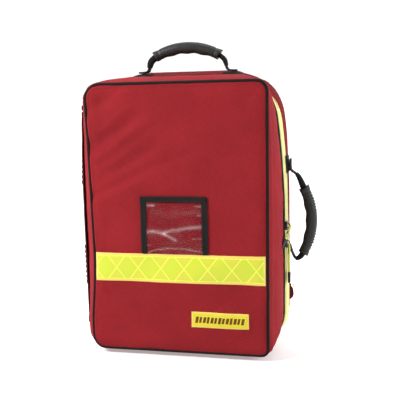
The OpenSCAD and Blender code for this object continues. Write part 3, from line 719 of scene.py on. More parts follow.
def warp(P):
    """The lid's left edge is drawn in a little at mid height and stands out near its foot."""
    P = np.array(P, float)
    w = sstep(-40, -150, P[..., 0]) * sstep(52, 92, -P[..., 1])
    P[..., 0] += w * np.interp(P[..., 2], DXZ, DXV)
    x, y, z = P[..., 0], P[..., 1], P[..., 2]
    P[..., 0] -= zip_inset(x, z) * sstep(-56, -9, y) * (y < 4)
    P[..., 0] -= 2.4 * sstep(120, 165, x) * sstep(400, 320, z) * sstep(20, 50, y)
    P[..., 2] -= 6.2 * sstep(72, 98, x) * sstep(148, 118, x) * sstep(450, 480, z) * sstep(14, 58, y)
    return P


def zip_inset(x, z):
    """How far the zip's line is drawn in down the right side."""
    return (2.2 + 1.2 * sstep(240, 330, z)) * sstep(118, 160, x) * sstep(474, 436, z) * sstep(10, 62, z)


def edge_in(x, z, w=157.0, zt=480.0, zb=10.0, r=46.0):
    """Distance inside the front piping's outline."""
    mid = (zt + zb) / 2
    r = np.where(x < 0, np.where(z > mid, 27.0, 20.5), np.where(z > mid, 18.0, 12.2)) - (157.0 - w)
    qx = np.abs(x) - (w - r)
    qz = np.abs(z - (zt + zb) / 2) - ((zt - zb) / 2 - r)
    out = np.hypot(np.maximum(qx, 0), np.maximum(qz, 0)) + np.minimum(np.maximum(qx, qz), 0) - r
    return -out


def front_y(x, z):
    """Depth of the padded front panel's surface."""
    x, z = np.asarray(x, float), np.asarray(z, float)
    d = np.maximum(edge_in(x, z), 0)
    y = -99.9 - 2.0 * np.clip(1 - (x / 157) ** 2, 0, 1) * np.clip(1 - ((z - 245) / 236) ** 2, 0, 1)
    y = y + 2.2 * exp(-d / 3.6) - 0.8 * exp(-(((d - 16) / 9) ** 2))
    y = y + 0.95 * vnoise(x / 46 + 3, z / 62, 1) + 0.24 * vnoise(x / 15, z / 19, 2)
    g = exp(-(((x + 96) / 62) ** 2) - (((z - 392) / 74) ** 2))
    y = y + g * 1.0 * sin((-0.52 * x + 0.85 * z) / 4.4 + 1.2 * vnoise(x / 40, z / 40, 5))
    g = exp(-(((x - 104) / 44) ** 2) - (((z - 330) / 90) ** 2))
    y = y + g * 0.62 * sin((-0.42 * x + 0.80 * z) / 6.4 + 1.5 * vnoise(x / 35, z / 35, 6))
    g = exp(-(((x - 96) / 46) ** 2) - (((z - 78) / 52) ** 2))
    y = y + g * 0.55 * sin((0.62 * x - 0.70 * z) / 5.8 + 1.3 * vnoise(x / 32, z / 32, 8))
    g = exp(-(((x + 118) / 40) ** 2) - (((z - 95) / 46) ** 2))
    y = y + g * 0.66 * sin((0.5 * x + 0.86 * z) / 5.2 + 1.1 * vnoise(x / 30, z / 30, 7))
    g = exp(-(((x + 112) / 66) ** 2) - (((z - 405) / 80) ** 2))
    y = y - g * 2.7 * sin((-0.50 * x + 0.86 * z) / 9.5 + 0.9 * vnoise(x / 60, z / 60, 9) + 0.6)
    y = y + 2.2 * exp(-(((z - 0.42 * x - 352) / 10) ** 2)) * sstep(140, -60, x)
    y = y - 1.35 * sin((z - 0.34 * x) / 17 + 1.4 * vnoise(x / 80, z / 70, 10)) * sstep(10, 40, d)
    for zb, s in ((136, 5.0), (187, 5.0)):
        y = y + 0.55 * exp(-(((z - zb) / s) ** 2)) * sstep(158, 146, np.abs(x))
    return y


def on_front(x, z, up=0.0):
    x, z = np.broadcast_arrays(np.asarray(x, float), np.asarray(z, float))
    return warp(np.stack([x, front_y(x, z) - up, z], -1))


def front_normal(x, z):
    e = 0.6
    a = (front_y(np.asarray(x) + e, z) - front_y(np.asarray(x) - e, z)) / (2 * e)
    b = (front_y(x, np.asarray(z) + e) - front_y(x, np.asarray(z) - e)) / (2 * e)
    return unit(np.stack([a, -np.ones_like(a), b], -1))


def slab_on_front(x0, z0, x1, z1, up, thick, nx, nz, soft=1.2, mats=0, centre=None, extra=None):
    """A closed patch lying on the front panel: rounded edges, top surface up above the cloth."""
    S = Shape()
    xs, zs = np.linspace(x0, x1, nx), np.linspace(z0, z1, nz)
    X, Z = np.meshgrid(xs, zs, indexing="ij")
    d = np.minimum(np.minimum(X - x0, x1 - X), np.minimum(Z - z0, z1 - Z))
    lift = up * (0.35 + 0.65 * np.sqrt(np.clip(d / soft, 0, 1)))
    if extra is not None:
        lift = lift + extra(X, Z)
    top = on_front(X, Z, 0)
    top[..., 1] -= lift
    bot = on_front(X, Z, 0)
    bot[..., 1] += thick - up if thick > up else 0.15
    cx, cz = centre or ((x0 + x1) / 2, (z0 + z1) / 2)
    uv = np.stack([X - cx, Z - cz], -1)
    a = S.grid(top, uv=uv, mat=mats)
    b = S.grid(bot, uv=uv, mat=mats)
    ring = [(i, 0) for i in range(nx)] + [(nx - 1, j) for j in range(1, nz)] + [(i, nz - 1) for i in range(nx - 2, -1, -1)] + [
        (0, j) for j in range(nz - 2, 0, -1)]
    close_rim(S, a, b, ring, nz, uv)
    return S, X, Z


def close_rim(S, a, b, ring, m, uv, mat=0):
    for k in range(len(ring)):
        (i, j), (p, q) = ring[k], ring[(k + 1) % len(ring)]
        S.f.append([a + i * m + j, a + p * m + q, b + p * m + q, b + i * m + j])
        S.uv.append(np.array([uv[i, j], uv[p, q], uv[p, q] + 0.8, uv[i, j] + 0.8]))
        S.m.append(mat)


# ---------------------------------------------------------------- lid: front panel, piping, walls
def panel_grid(w, zt, zb, rt, rb, nx, nz, yfun, q=0.0):
    """Rows of a rounded outline's inside: x follows the outline's half width."""
    t = np.linspace(0, 1, nz)
    z = zb + (zt - zb) * (0.5 - 0.5 * cos(pi * t)) * 0.35 + (zt - zb) * t * 0.65
    half = []
    for kt, kb in ((1 + 0.08 * q, 1 + 0.08 * q), (1 - 0.28 * q, 1 - 0.36 * q)):
        hw, at, ab = np.full(nz, float(w)), rt * kt, rb * kb
        lo, hi = z < zb + ab, z > zt - at
        hw[lo] = w - ab + np.sqrt(np.maximum(0, ab**2 - (zb + ab - z[lo]) ** 2))
        hw[hi] = w - at + np.sqrt(np.maximum(0, at**2 - (z[hi] - zt + at) ** 2))
        half.append(hw)
    s = np.linspace(-1, 1, nx)
    s = 0.78 * s + 0.22 * sin(s * pi / 2)
    X = s[:, None] * np.where(s[:, None] < 0, half[0][None], half[1][None])
    Z = np.broadcast_to(z, X.shape)
    return X, np.array(Z), yfun(X, Z)


def build_front_panel():
    S = Shape()
    nx, nz = 150, 210
    X, Z, Y = panel_grid(154.9, 477.9, 12.1, 23, 17, nx, nz, front_y, 1.0)
    top = warp(np.stack([X, Y, Z], -1))
    bot = warp(np.stack([X, np.full_like(X, -95.0), Z], -1))
    uv = np.stack([X, Z], -1)
    a, b = S.grid(top, uv=uv), S.grid(bot, uv=uv)
    ring = [(i, 0) for i in range(nx)] + [(nx - 1, j) for j in range(1, nz)] + [(i, nz - 1) for i in range(nx - 2, -1, -1)] + [
        (0, j) for j in range(nz - 2, 0, -1)]
    close_rim(S, a, b, ring, nz, uv)
    return S.make("front_panel_padded", M["front"], "lid", ["front_panel"], "red_fabric")


def ring_normals(o):
    t = unit(np.roll(o, -1, 0) - np.roll(o, 1, 0))
    return np.stack([t[:, 1], -t[:, 0]], 1)


def arc_pos(o):
    return np.concatenate([[0], np.cumsum(np.linalg.norm(np.diff(o, axis=0), axis=1))])


def cornerness(o, r=58):
    """1 at the rounded corners, 0 along the straight sides."""
    t = unit(np.roll(o, -3, 0) - o)
    u = unit(o - np.roll(o, 3, 0))
    return np.clip((1 - (t * u).sum(1)) * 60, 0, 1)


def shell(st, depths, relief, inner=6.0, n_in=7, lid=True):
    """Closed padded wall: outer rings with relief, then inner rings back."""
    outer = []
    for y in depths:
        o = outline(*station(st, y))
        nn = ring_normals(o)
        s = arc_pos(o)
        r = relief(y, s, o)
        P = np.stack([o[:, 0] + nn[:, 0] * r, np.full(RN, float(y)), o[:, 1] + nn[:, 1] * r], 1)
        outer.append(warp(P))
    ins = []
    for y in np.linspace(depths[-1], depths[0], n_in):
        w, zt, zb, rt, rb, k, c, q = station(st, y)
        t = inner
        o = outline(w - t, zt - t, zb + t, rt - t, rb - t, k, c, q)
        P = np.stack([o[:, 0], np.full(RN, float(y)), o[:, 1]], 1)
        ins.append(warp(P))
    return np.array(outer), np.array(ins)


def lid_relief(y, s, o):
    d0, d1 = y + 94, -8 - y
    c = cornerness(o)
    z = o[:, 1]
    r = 0.9 * exp(-(((y + 85.5) / 3.0) ** 2))
    r = r - 0.9 * exp(-(((y + 78) / 5.0) ** 2))
    r = r + 1.3 * sin(pi * np.clip((y + 80) / 70, 0, 1)) * (0.6 + 0.4 * vnoise(s / 60, y / 50, 21))
    r = r + 0.55 * vnoise(s / 26, y / 22, 22) + 0.25 * vnoise(s / 9, y / 16, 23)
    r = r + (0.45 + 0.9 * c) * exp(-d0 / 9.0) * np.sin(s / 2.9 + 2.2 * vnoise(s / 30, 0, 24)) * sstep(0, 3, d0)
    r = r + (0.35 + 0.8 * c) * exp(-d1 / 8.0) * np.sin(s / 3.3 + 2.0 * vnoise(s / 28, 3, 25)) * sstep(0, 3, d1)
    g = exp(-(((z - 250) / 120) ** 2)) * (o[:, 0] > 0)
    r = r + g * 0.5 * np.sin(z / 9.5 + y / 7.5 + 1.6 * vnoise(z / 50, y / 40, 26))
    r = r - 1.8 * exp(-d1 / 2.0)
    bottom = sstep(60, 10, z) * (np.abs(ring_normals(o)[:, 1]) > 0.6)
    return np.where(bottom > 0.2, np.minimum(r, 0.2), r)


def rear_relief(y, s, o):
    d0, d1 = y - 8, 94 - y
    c = cornerness(o)
    z = o[:, 1]
    r = 0.9 * sin(pi * np.clip((y - 8) / 86, 0, 1)) * (0.5 + 0.5 * vnoise(s / 70, y / 50, 31))
    r = r + 0.55 * vnoise(s / 28, y / 24, 32) + 0.2 * vnoise(s / 10, y / 16, 33)
    r = r + (0.35 + 0.8 * c) * exp(-d0 / 8.0) * np.sin(s / 3.1 + 2.2 * vnoise(s / 30, 0, 34)) * sstep(0, 3, d0)
    r = r + (0.40 + 0.8 * c) * exp(-d1 / 9.0) * np.sin(s / 3.0 + 2.0 * vnoise(s / 28, 3, 35)) * sstep(0, 3, d1)
    r = r - 1.4 * exp(-d0 / 2.0)
    flat = (np.abs(ring_normals(o)[:, 1]) > 0.6) & (z < 60)
    r = np.where(flat, np.minimum(r, 0.0), r)
    r = np.where((o[:, 0] > 120) & (z > 20), r - (1 - sstep(9, 26, d0)) * np.maximum(r + 1.9, 0), r)
    near = (o[:, 0] > 150) & (z > 155) & (z < 350)
    return np.where(near, np.minimum(r, 0.5), r)


def build_walls():
    for name, st, ys, rel, lid, mat, node in (
        ("lid_wall_padded", LID_ST, np.concatenate([[-94.0, -92.5, -91], np.linspace(-89.5, -12, 30), [-10.5, -9, -8]]), lid_relief, True, "side", "front_gusset"),
        ("rear_wall_padded", TRAY_ST, np.concatenate([[8.0, 9, 10.5], np.linspace(12.5, 89.5, 28), [91, 92.5, 94]]), rear_relief, False, "rear", "rear_gusset")):
        out, ins = shell(st, ys, rel, lid=lid)
        S = Shape()
        P = np.concatenate([out, ins])
        no = len(out)
        mat_idx = np.zeros(P.shape[:2], int)
        mat_idx[no - 1 :] = 1
        mat_idx[-1] = 0
        # rings run along i so that the section closes on itself
        S.grid(P, ci=True, cj=True, mat=mat_idx)
        o = S.make(name, [M[mat], M["lining"]], "lid" if lid else "case", [node], "red_fabric")


def build_piping():
    o = outline(157, 480, 10, 25, 19, 0, 0.0, 1.0)
    P = warp(np.stack([o[:, 0], np.full(RN, -97.0), o[:, 1]], 1))
    P = resample(P, 3.2, closed=True)
    s = np.arange(len(P))
    S = Shape()
    S.tube(P, 2.75 + 0.10 * vnoise(s / 5, 0, 41), 14, closed=True)
    S.make("front_piping_cord", M["piping"], "lid", ["front_piping"], "black_piping")
    S = Shape()
    o = outline(176.6, 497.2, 3.6, 78, 56, 1)
    P = resample(warp(np.stack([o[:, 0], np.full(RN, 97.0), o[:, 1]], 1)), 3.4, closed=True)
    S.tube(P, 2.45 + 0.08 * vnoise(np.arange(len(P)) / 5, 0, 42), 12, closed=True)
    S.make("rear_piping_cord", M["piping"], "case", ["rear_piping"], "black_piping")


def build_front_dressing():
    # reflective band, its stitches
    S, X, Z = slab_on_front(-153.4, 136, 153.4, 187, 1.15, 1.4, 200, 34, soft=0.9, centre=(0, 161.5),
                            extra=lambda X, Z: -0.22 * exp(-((np.abs(Z - 161.5) - 23.6) / 0.8) ** 2) + 0.10 * vnoise(X / 26, Z / 18, 51))
    S.make("reflective_tape_band", M["tape"], "lid", ["reflective_band"], "reflective_tape")
    T = Shape()
    for z in (137.6, 185.4):
        x = np.linspace(-152.4, 152.4, 160)
        stitches(T, on_front(x, np.full_like(x, z), 1.05), front_normal(x, np.full_like(x, z)), mat=0)
    for x in (-152.2, 152.2):
        z = np.linspace(138, 185, 30)
        stitches(T, on_front(np.full_like(z, x), z, 1.05), front_normal(np.full_like(z, x), z), mat=0)
    # label
    L, X, Z = slab_on_front(23.5, 57, 124.5, 85, 1.0, 1.3, 60, 20, soft=0.9,
                            extra=lambda X, Z: 0.12 * vnoise(X / 20, Z / 12, 52))
    L.make("name_label_patch", M["label"], "lid", ["name_label"], "label_fabric")
    for z in (58.6, 83.4):
        x = np.linspace(25, 123, 50)
        stitches(T, on_front(x, np.full_like(x, z), 0.9), front_normal(x, np.full_like(x, z)), length=2.4, gap=1.0, r=0.28)
    for x in (25.0, 123.0):
        z = np.linspace(59, 83, 16)
        stitches(T, on_front(np.full_like(z, x), z, 0.9), front_normal(np.full_like(z, x), z), length=2.4, gap=1.0, r=0.28)
    T.make("front_stitching_pale", M["thread_lime"], "lid", (), "label_fabric")
    # generic printed pattern on the label: a row of slanted bars
    B = Shape()
    for k in range(13):
        x0 = 29.6 + k * 6.75
        h = 10.4 if k % 3 else 11.4
        xs = np.linspace(0, 1, 5)[:, None]
        zs = np.linspace(0, 1, 6)[None]
        w = 4.9 if k % 2 == 0 else 4.2
        X = x0 + xs * w + zs * 2.4
        Z = 71 - h / 2 + zs * h + 0 * xs
        top = on_front(X, Z, 0)
        top[..., 1] -= 1.0 + 0.16 + 0.12 * vnoise(X / 20, Z / 12, 52)
        bot = top.copy()
        bot[..., 1] += 0.35
        uv = np.stack([X, Z], -1)
        a, b = B.grid(top, uv=uv), B.grid(bot, uv=uv)
        ring = [(i, 0) for i in range(5)] + [(4, j) for j in range(1, 6)] + [(i, 5) for i in range(3, -1, -1)] + [(0, j) for j in range(4, 0, -1)]
        close_rim(B, a, b, ring, 6, uv)
    B.make("name_label_bars", M["print"], "lid", (), "label_fabric", smooth=False)
    # card window
    F = Shape()
    nx, nz = 110, 96
    xs, zs = np.linspace(-55.5, 47.5, nx), np.linspace(186.2, 281.5, nz)
    X, Z = np.meshgrid(xs, zs, indexing="ij")
    wave = 0.30 * vnoise(X / 24, Z / 14, 61) + 0.16 * vnoise(X / 9, Z / 6, 62)
    haze_and_highlight = 0.10 * np.clip(vnoise(X / 22, Z / 9, 63), 0, 1)

    def streak(p, wd, amp, cut=0.0):
        """A crease along points p, its own soft width; returns its strength at every grid point, used for the crease's
        relief and its painted highlight.
        """
        p = np.array(p, float)
        best = np.full(X.shape, 1e9)
        for a, b in zip(p[:-1], p[1:]):
            d = b - a
            t = np.clip(((X - a[0]) * d[0] + (Z - a[1]) * d[1]) / (d @ d), 0, 1)
            best = np.minimum(best, np.hypot(X - a[0] - t * d[0], (Z - a[1] - t * d[1])))
        return amp * exp(-((best / wd) ** 2)) * (0.75 + 0.25 * vnoise(X / 6, Z / 4, 64))

    for p, wd, amp in STREAKS:
        # each crease raises the film a little and adds painted highlight to the haze
        k = streak(p, wd, amp)
        haze_and_highlight = haze_and_highlight + k
        wave = wave + 0.5 * k
    top = on_front(X, Z, 0)
    top[..., 1] -= 1.0 + wave
    bot = top.copy()
    bot[..., 1] += 0.35
    uv = np.stack([X, Z], -1)
    a, b = F.grid(top, uv=uv), F.grid(bot, uv=uv)
    ring = [(i, 0) for i in range(nx)] + [(nx - 1, j) for j in range(1, nz)] + [(i, nz - 1) for i in range(nx - 2, -1, -1)] + [
        (0, j) for j in range(nz - 2, 0, -1)]
    close_rim(F, a, b, ring, nz, uv)
    F.extra["HazeAndHighlight"] = np.concatenate([haze_and_highlight.ravel(), haze_and_highlight.ravel()])
    F.make("id_window_vinyl", M["film"], "lid", ["id_window_film"], "clear_film")
    G = Shape()
    for x, w in ((-58.0, 10.0), (50.6, 10.6)):
        z = np.arange(187.6, 288.3, 3.0)
        P = on_front(np.full_like(z, x), z, 1.35)
        P[:, 1] -= 0.10 * vnoise(z / 14, x, 65)
        strap(G, P, front_normal(np.full_like(z, x), z), w, 1.7)
    x = np.arange(-63.2, 56.4, 3.0)
    P = on_front(x, np.full_like(x, 283.6), 1.9)
    strap(G, P, front_normal(x, np.full_like(x, 283.6)), 9.6, 1.7)
    G.make("id_window_binding", M["binding"], "lid", ["id_window_frame"], "black_binding")
    K = Shape()
    for x in (-61.6, -54.5, 46.9, 54.4):
        z = np.arange(189, 281, 3.0)
        stitches(K, on_front(np.full_like(z, x), z, 2.2), front_normal(np.full_like(z, x), z), length=2.5, gap=1.2, r=0.27)
    for z in (280.4, 286.8):
        x = np.arange(-61, 55, 3.0)
        stitches(K, on_front(x, np.full_like(x, z), 2.75), front_normal(x, np.full_like(x, z)), length=2.5, gap=1.2, r=0.27)
    K.make("id_window_stitching", M["thread_black"], "lid", (), "black_binding")
    # seam stitches just inside the piping
    R = Shape()
    o = outline(150.5, 473.5, 16.5, 19, 13.5, 0, 0.0, 1.0)
    o = resample(o, 3.0, closed=True)
    stitches(R, on_front(o[:, 0], o[:, 1], 0.02), front_normal(o[:, 0], o[:, 1]), length=3.0, gap=1.5, r=0.26, closed=True)
    R.make("front_seam_stitching", M["thread_red"], "lid", (), "red_fabric")


M["print"] = woven("dark_olive_print", (0.150, 0.060, 0.008, 1), 0.8, 0.8, depth=0.04, dark=0.75, rough=0.75, spec=0.15, sheen=0.0)

# creases in the card window's vinyl, each paler along it as a painted highlight: points (x, z), width, strength
STREAKS = [
    ([(-54, 226.6), (-43, 227.7), (-32, 226.1), (-20, 223)], 4.0, 0.60),
    ([(-20, 223), (-11, 217.7), (-1, 212.7)], 2.6, 0.60),
    ([(-20, 226.4), (-2, 230.3), (16, 233.2), (30, 235.2), (44, 236.4)], 3.4, 0.60),
    ([(-50.5, 272.4), (-38, 272.6)], 1.6, 0.7),
    ([(34, 271.7), (44.6, 271.8)], 1.4, 0.7),
    ([(39, 256.2), (43, 256.4)], 1.7, 0.6),
    ([(29, 215.1), (43.4, 215.4)], 1.1, 0.6),
    ([(-53, 202.6), (-47, 202.7)], 1.2, 0.5),
    ([(-55, 187.4), (-38.8, 194.0), (-15.3, 198.2), (14.9, 197.2), (41.1, 192.6), (47, 190)], 1.5, 0.5),
    ([(-40, 262), (-12, 255), (20, 259), (38, 266)], 5.0, 0.12),
]


# ---------------------------------------------------------------- zip
def zip_span(o):
    a = 5
    b = (NC + 1) + (NB - 1) + (NC + 1) + (NS - 1) + (NC + 1) + (NT - 1) + 12
    return o[a : b + 1]


def zip_path(off=0.0, step=3.0):
    """The zip's line with its outward normals in the XZ plane, and how far each point is down the right side."""
    o = outline(180.0, 492.1, 2.6, 74, 60, 1, -2.1)
    nn = ring_normals(o)
    off = off - zip_inset(o[:, :1], o[:, 1:]) - 1.1 * sstep(484, 491, o[:, 1:]) * sstep(140, 100, np.abs(o[:, :1]))
    a = 5
    b = (NC + 1) + (NB - 1) + (NC + 1) + (NS - 1) + (NC + 1) + (NT - 1) + 12
    both = np.concatenate([o[a : b + 1] + nn[a : b + 1] * off[a : b + 1], nn[a : b + 1]], 1)
    both = resample(both, step)
    s = np.concatenate([[0], np.cumsum(np.linalg.norm(np.diff(both[:, :2], axis=0), axis=1))])
    return both[:, :2], unit(both[:, 2:]), s


def xyz(p, y):
    return np.stack([p[:, 0], np.broadcast_to(np.asarray(y, float), len(p)), p[:, 1]], 1)


def build_zip():
    p, n, s = zip_path(0, 3.4)
    n3 = xyz(n, 0)
    Y = np.broadcast_to(np.array([0.0, 1, 0]), n3.shape)
    low = sstep(40, 8, p[:, 1])  # along the bottom the tapes stay flat
    # lid side: a rolled black binding beside the teeth
    S = Shape()
    prof = []
    a = np.array([-11.6, -10.6, -8.4, -6.2, -4.2, -2.6, -2.2, -2.6, -5, -8, -10.8])
    b = np.array([-0.9, 0.35, 1.15, 1.2, 0.75, 0.2, -0.3, -0.9, -1.2, -1.3, -1.3])
    wob = 0.22 * vnoise(s / 16, 0, 71)
    for k in range(len(p)):
        prof.append(np.stack([a, np.where(b > 0, b * (1 + wob[k] + 0.5 * (p[k, 0] > 150)) * (1 - 0.75 * low[k]), b)], 1))
    S.sweep(xyz(p, 0), np.array(prof), Y, n3)
    S.make("zip_tape_lid_binding", M["zipblack"], "lid", ["zip_tape_lid"], "black_binding")
    # rear side: lime tape turned a little to the front down the right side
    inset = zip_inset(p[:, 0], p[:, 1])
    right = sstep(122, 160, p[:, 0]) * sstep(468, 400, p[:, 1])
    left = sstep(-130, -170, p[:, 0])
    lower = 1 - sstep(150, 260, p[:, 1]) * 0.62
    S = Shape()
    prof = []
    for k in range(len(p)):
        tilt = (inset[k] + (2.0 + 3.8 * lower[k]) * right[k]) * (1 - low[k]) + 0.2 * left[k]
        tilt += 0.2 * right[k] * float(vnoise(s[k] / 22, 1, 72))
        q = np.linspace(0, 1, 9)
        yy = 2.1 + 11.3 * q
        top = -0.35 + tilt * q**0.42
        if low[k] > 0.3:
            top = np.full(9, -0.5)
        out = np.concatenate([np.stack([yy, top], 1), np.stack([yy[::-1], top[::-1] - 1.0], 1)])
        prof.append(out)
    S.sweep(xyz(p, 0), np.array(prof), Y, n3)
    S.make("zip_tape_rear_lime", M["zip"], "case", ["zip_tape_rear"], "zip_tape")
    T = Shape()
    q0 = p + n * np.where(low[:, None] > 0.3, -0.5, -0.2)
    line = xyz(q0, 3.6)
    line[:, 1] += 0
    shown = np.where(right >= 0.3)[0]
    for part in (slice(0, shown[0]), slice(shown[-1] + 1, len(line))):
        stitches(T, line[part], n3[part], length=2.6, gap=1.3, r=0.24)
    T.make("zip_tape_stitching", M["thread_lime"], "case", (), "zip_tape")
    # moulded teeth of both rows, interlocking at the middle
    V, F = boxy((1.55, 2.7, 2.0), 0.32, 1)
    head = boxy((2.1, 1.0, 2.3), 0.32, 1)
    for row, y0, phase, body, node, nm in ((-1, -1.25, 0.0, "lid", "zip_teeth_lid", "zip_teeth_lid_row"), (1, 1.25, 0.5, "case", "zip_teeth_rear", "zip_teeth_rear_row")):
        pp, nn, ss = zip_path(0.25, 1.75)
        sel = np.arange(int(phase * 2), len(pp), 2)
        c, m = xyz(pp[sel], y0), xyz(nn[sel], 0)
        t = unit(np.cross(np.broadcast_to(np.array([0.0, 1, 0]), m.shape), m))
        yy = np.broadcast_to(np.array([0.0, 1, 0]), m.shape)
        S = Shape()
        S.stamp((V, F), c, t, yy, m)
        c2 = c.copy()
        c2[:, 1] = row * 0.35
        S.stamp(head, c2, t, yy, m)
        S.make(nm, M["teeth"], body, [node], "zip_teeth", sharp=40)


# ---------------------------------------------------------------- left side: hinge, patch, skids
def lid_half(y, z):
    w, zt, zb, rt, rb, k, c, q = station(LID_ST, float(np.clip(y, -94, -8)))
    return w - c - k * 0.0004 * max(0, z - 250) ** 2


def build_hinge_side():
    S = Shape()
    zs = np.linspace(54, 431, 96)
    th = np.linspace(-1, 1, 26)
    outer, inner = [], []
    for z in zs:
        e = min(z - 54, 431 - z)
        pinch = 0.5 * math.exp(-e / 6)
        row_o, row_i = [], []
        for t in th:
            y = 17.5 * t
            base = 181.6 + 0.6 * (1 - t * t)
            bulge = 2.6 * (1 - abs(t) ** 2.2) + 0.5 * float(vnoise(z / 20, y / 9, 81)) * (1 - t * t) - pinch
            x = -(base + bulge + 0.7)
            row_o.append([x, y, z])
            row_i.append([x + 1.1, y, z])
        outer.append(row_o)
        inner.append(row_i)
    G = np.concatenate([np.array(outer), np.array(inner)[:, ::-1]], 1)
    a = S.grid(G, ci=False, cj=True)
    m = G.shape[1]
    S.fan(list(range(a, a + m)))
    S.fan(list(range(a + (len(zs) - 1) * m, a + len(zs) * m)))
    o = S.make("hinge_fabric", M["rear"], None, ["hinge_strip_lid", "hinge_strip_rear"], "red_fabric")
    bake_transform(o)
    T = Shape()
    for y, body in ((-15.6, "lid"), (15.6, "case")):
        T = Shape()
        z = np.arange(56, 430, 3.0)
        base = 181.6 + 0.6 * (1 - (y / 17.5) ** 2)
        bulge = 2.6 * (1 - abs(y / 17.5) ** 2.2)
        P = np.stack([np.full_like(z, -(base + bulge + 0.75)), np.full_like(z, y), z], 1)
        stitches(T, P, np.array([-1.0, 0, 0]), length=2.8, gap=1.4, r=0.26)
        T.make("hinge_stitching_" + body, M["thread_red"], body, (), "red_fabric")
    # patch down the lid's left wall, coloured with the red cloth's painted shade, with its black loop tabs
    S = Shape()
    ys, zs = np.linspace(-77.5, -12.5, 30), np.linspace(56.5, 424.5, 130)
    top, bot = [], []
    for y in ys:
        r1, r2 = [], []
        for z in zs:
            d = min(y + 77.5, -12.5 - y, z - 56.5, 424.5 - z)
            up = 1.5 + 0.8 * math.sqrt(min(1, d / 2.2)) + 0.35 * float(vnoise(z / 30, y / 20, 82))
            x = -lid_half(y, z) - up
            r1.append([x, y, z])
            r2.append([x + 1.3, y, z])
        top.append(r1)
        bot.append(r2)
    top, bot = np.array(top), np.array(bot)
    uv = np.stack([top[..., 1], top[..., 2]], -1)
    a, b = S.grid(top, uv=uv), S.grid(bot, uv=uv)
    ring = [(i, 0) for i in range(30)] + [(29, j) for j in range(1, 130)] + [(i, 129) for i in range(28, -1, -1)] + [(0, j) for j in range(128, 0, -1)]
    close_rim(S, a, b, ring, 130, uv)
    S.make("lid_side_patch_fabric", M["red_shade_painted"], "lid", ["lid_side_patch"], "dark_red_webbing")
    T = Shape()
    for y in (-75.5, -14.5):
        z = np.arange(59, 423, 4.0)
        P = np.array([[-lid_half(y, q) - 2.35, y, q] for q in z])
        stitches(T, P, np.array([-1.0, 0, 0]), length=2.8, gap=1.4, r=0.28)
    for z in (58.8, 422.4):
        y = np.arange(-75, -14, 3.0)
        P = np.array([[-lid_half(q, z) - 2.35, q, z] for q in y])
        stitches(T, P, np.array([-1.0, 0, 0]), length=2.8, gap=1.4, r=0.28)
    T.make("lid_side_patch_stitching", M["thread_black"], "lid", (), "dark_red_webbing")
    S = Shape()
    for z0, d in ((429, 2.6), (440, 3.3), (52, 2.4)):
        ys = np.linspace(-74, -40, 22)
        P = np.array([[-lid_half(y, z0) - 0.8 - d * math.sin(pi * min(1, max(0, (y + 76) / 38))) ** 0.8, y, z0 + 0.6 * math.sin(y / 5)] for y in ys])
        tan = tangents(P)
        nrm = np.cross(tan, np.array([0, 0, 1.0]))
        strap(S, P, -unit(nrm), 8.6, 2.4)
    S.make("lid_side_loops", M["webbing"], "lid", (), "black_binding")


def build_skids():
    for node, body in (("lid_skids", "lid"), ("rear_skids", "case")):
        S = Shape()
        for z0, lean, hi in ((116, 0, False), (302, 3 if body == "lid" else 4, True)):
            x = {"lid": (-183.4, -183.1), "case": (-182.9, -182.0)}[body][1 if hi else 0]
            y = -43 if body == "lid" else 50
            a = math.radians(lean)
            ax, az = np.array([math.cos(a), 0, -math.sin(a)]), np.array([math.sin(a), 0, math.cos(a)])
            o = np.array([x, y, z0], float)
            V, F = boxy((1.9, 22.4, 74.4), 0.75, 2)
            S.stamp((V, F), (o + ax * -0.9 + az * 37)[None], ax[None], np.array([[0, 1.0, 0]]), az[None])
            V, F = boxy((2.6, 19.6, 5.4), 1.15, 3, taper=None)
            c = np.array([o + ax * -2.25 + az * (4 + i * 9.4) for i in range(8)])
            n = len(c)
            S.stamp((V, F), c, np.tile(ax, (n, 1)), np.tile([0, 1.0, 0], (n, 1)), np.tile(az, (n, 1)))
        S.make(node + "_ribbed", M["rubber"], body, [node], "black_rubber", sharp=50)


# ---------------------------------------------------------------- back, base and linings
def plate_piece(name, mat, body, stand, slot, w, zt, zb, rt, rb, k, y_out, y_in, relief, nx=90, nz=120):
    S = Shape()
    X, Z, _ = panel_grid(w, zt, zb, rt, rb, nx, nz, lambda x, z: x * 0)
    X = X * (1 - k * 0.0004 * np.maximum(0, Z - 250) ** 2 / w)
    A = warp(np.stack([X, y_out + relief(X, Z), Z], -1))
    B = warp(np.stack([X, np.full_like(X, y_in), Z], -1))
    uv = np.stack([X, Z], -1)
    a, b = S.grid(A, uv=uv), S.grid(B, uv=uv)
    ring = [(i, 0) for i in range(nx)] + [(nx - 1, j) for j in range(1, nz)] + [(i, nz - 1) for i in range(nx - 2, -1, -1)] + [
        (0, j) for j in range(nz - 2, 0, -1)]
    close_rim(S, a, b, ring, nz, uv)
    o = S.make(name, mat, body, stand, slot)
    return o


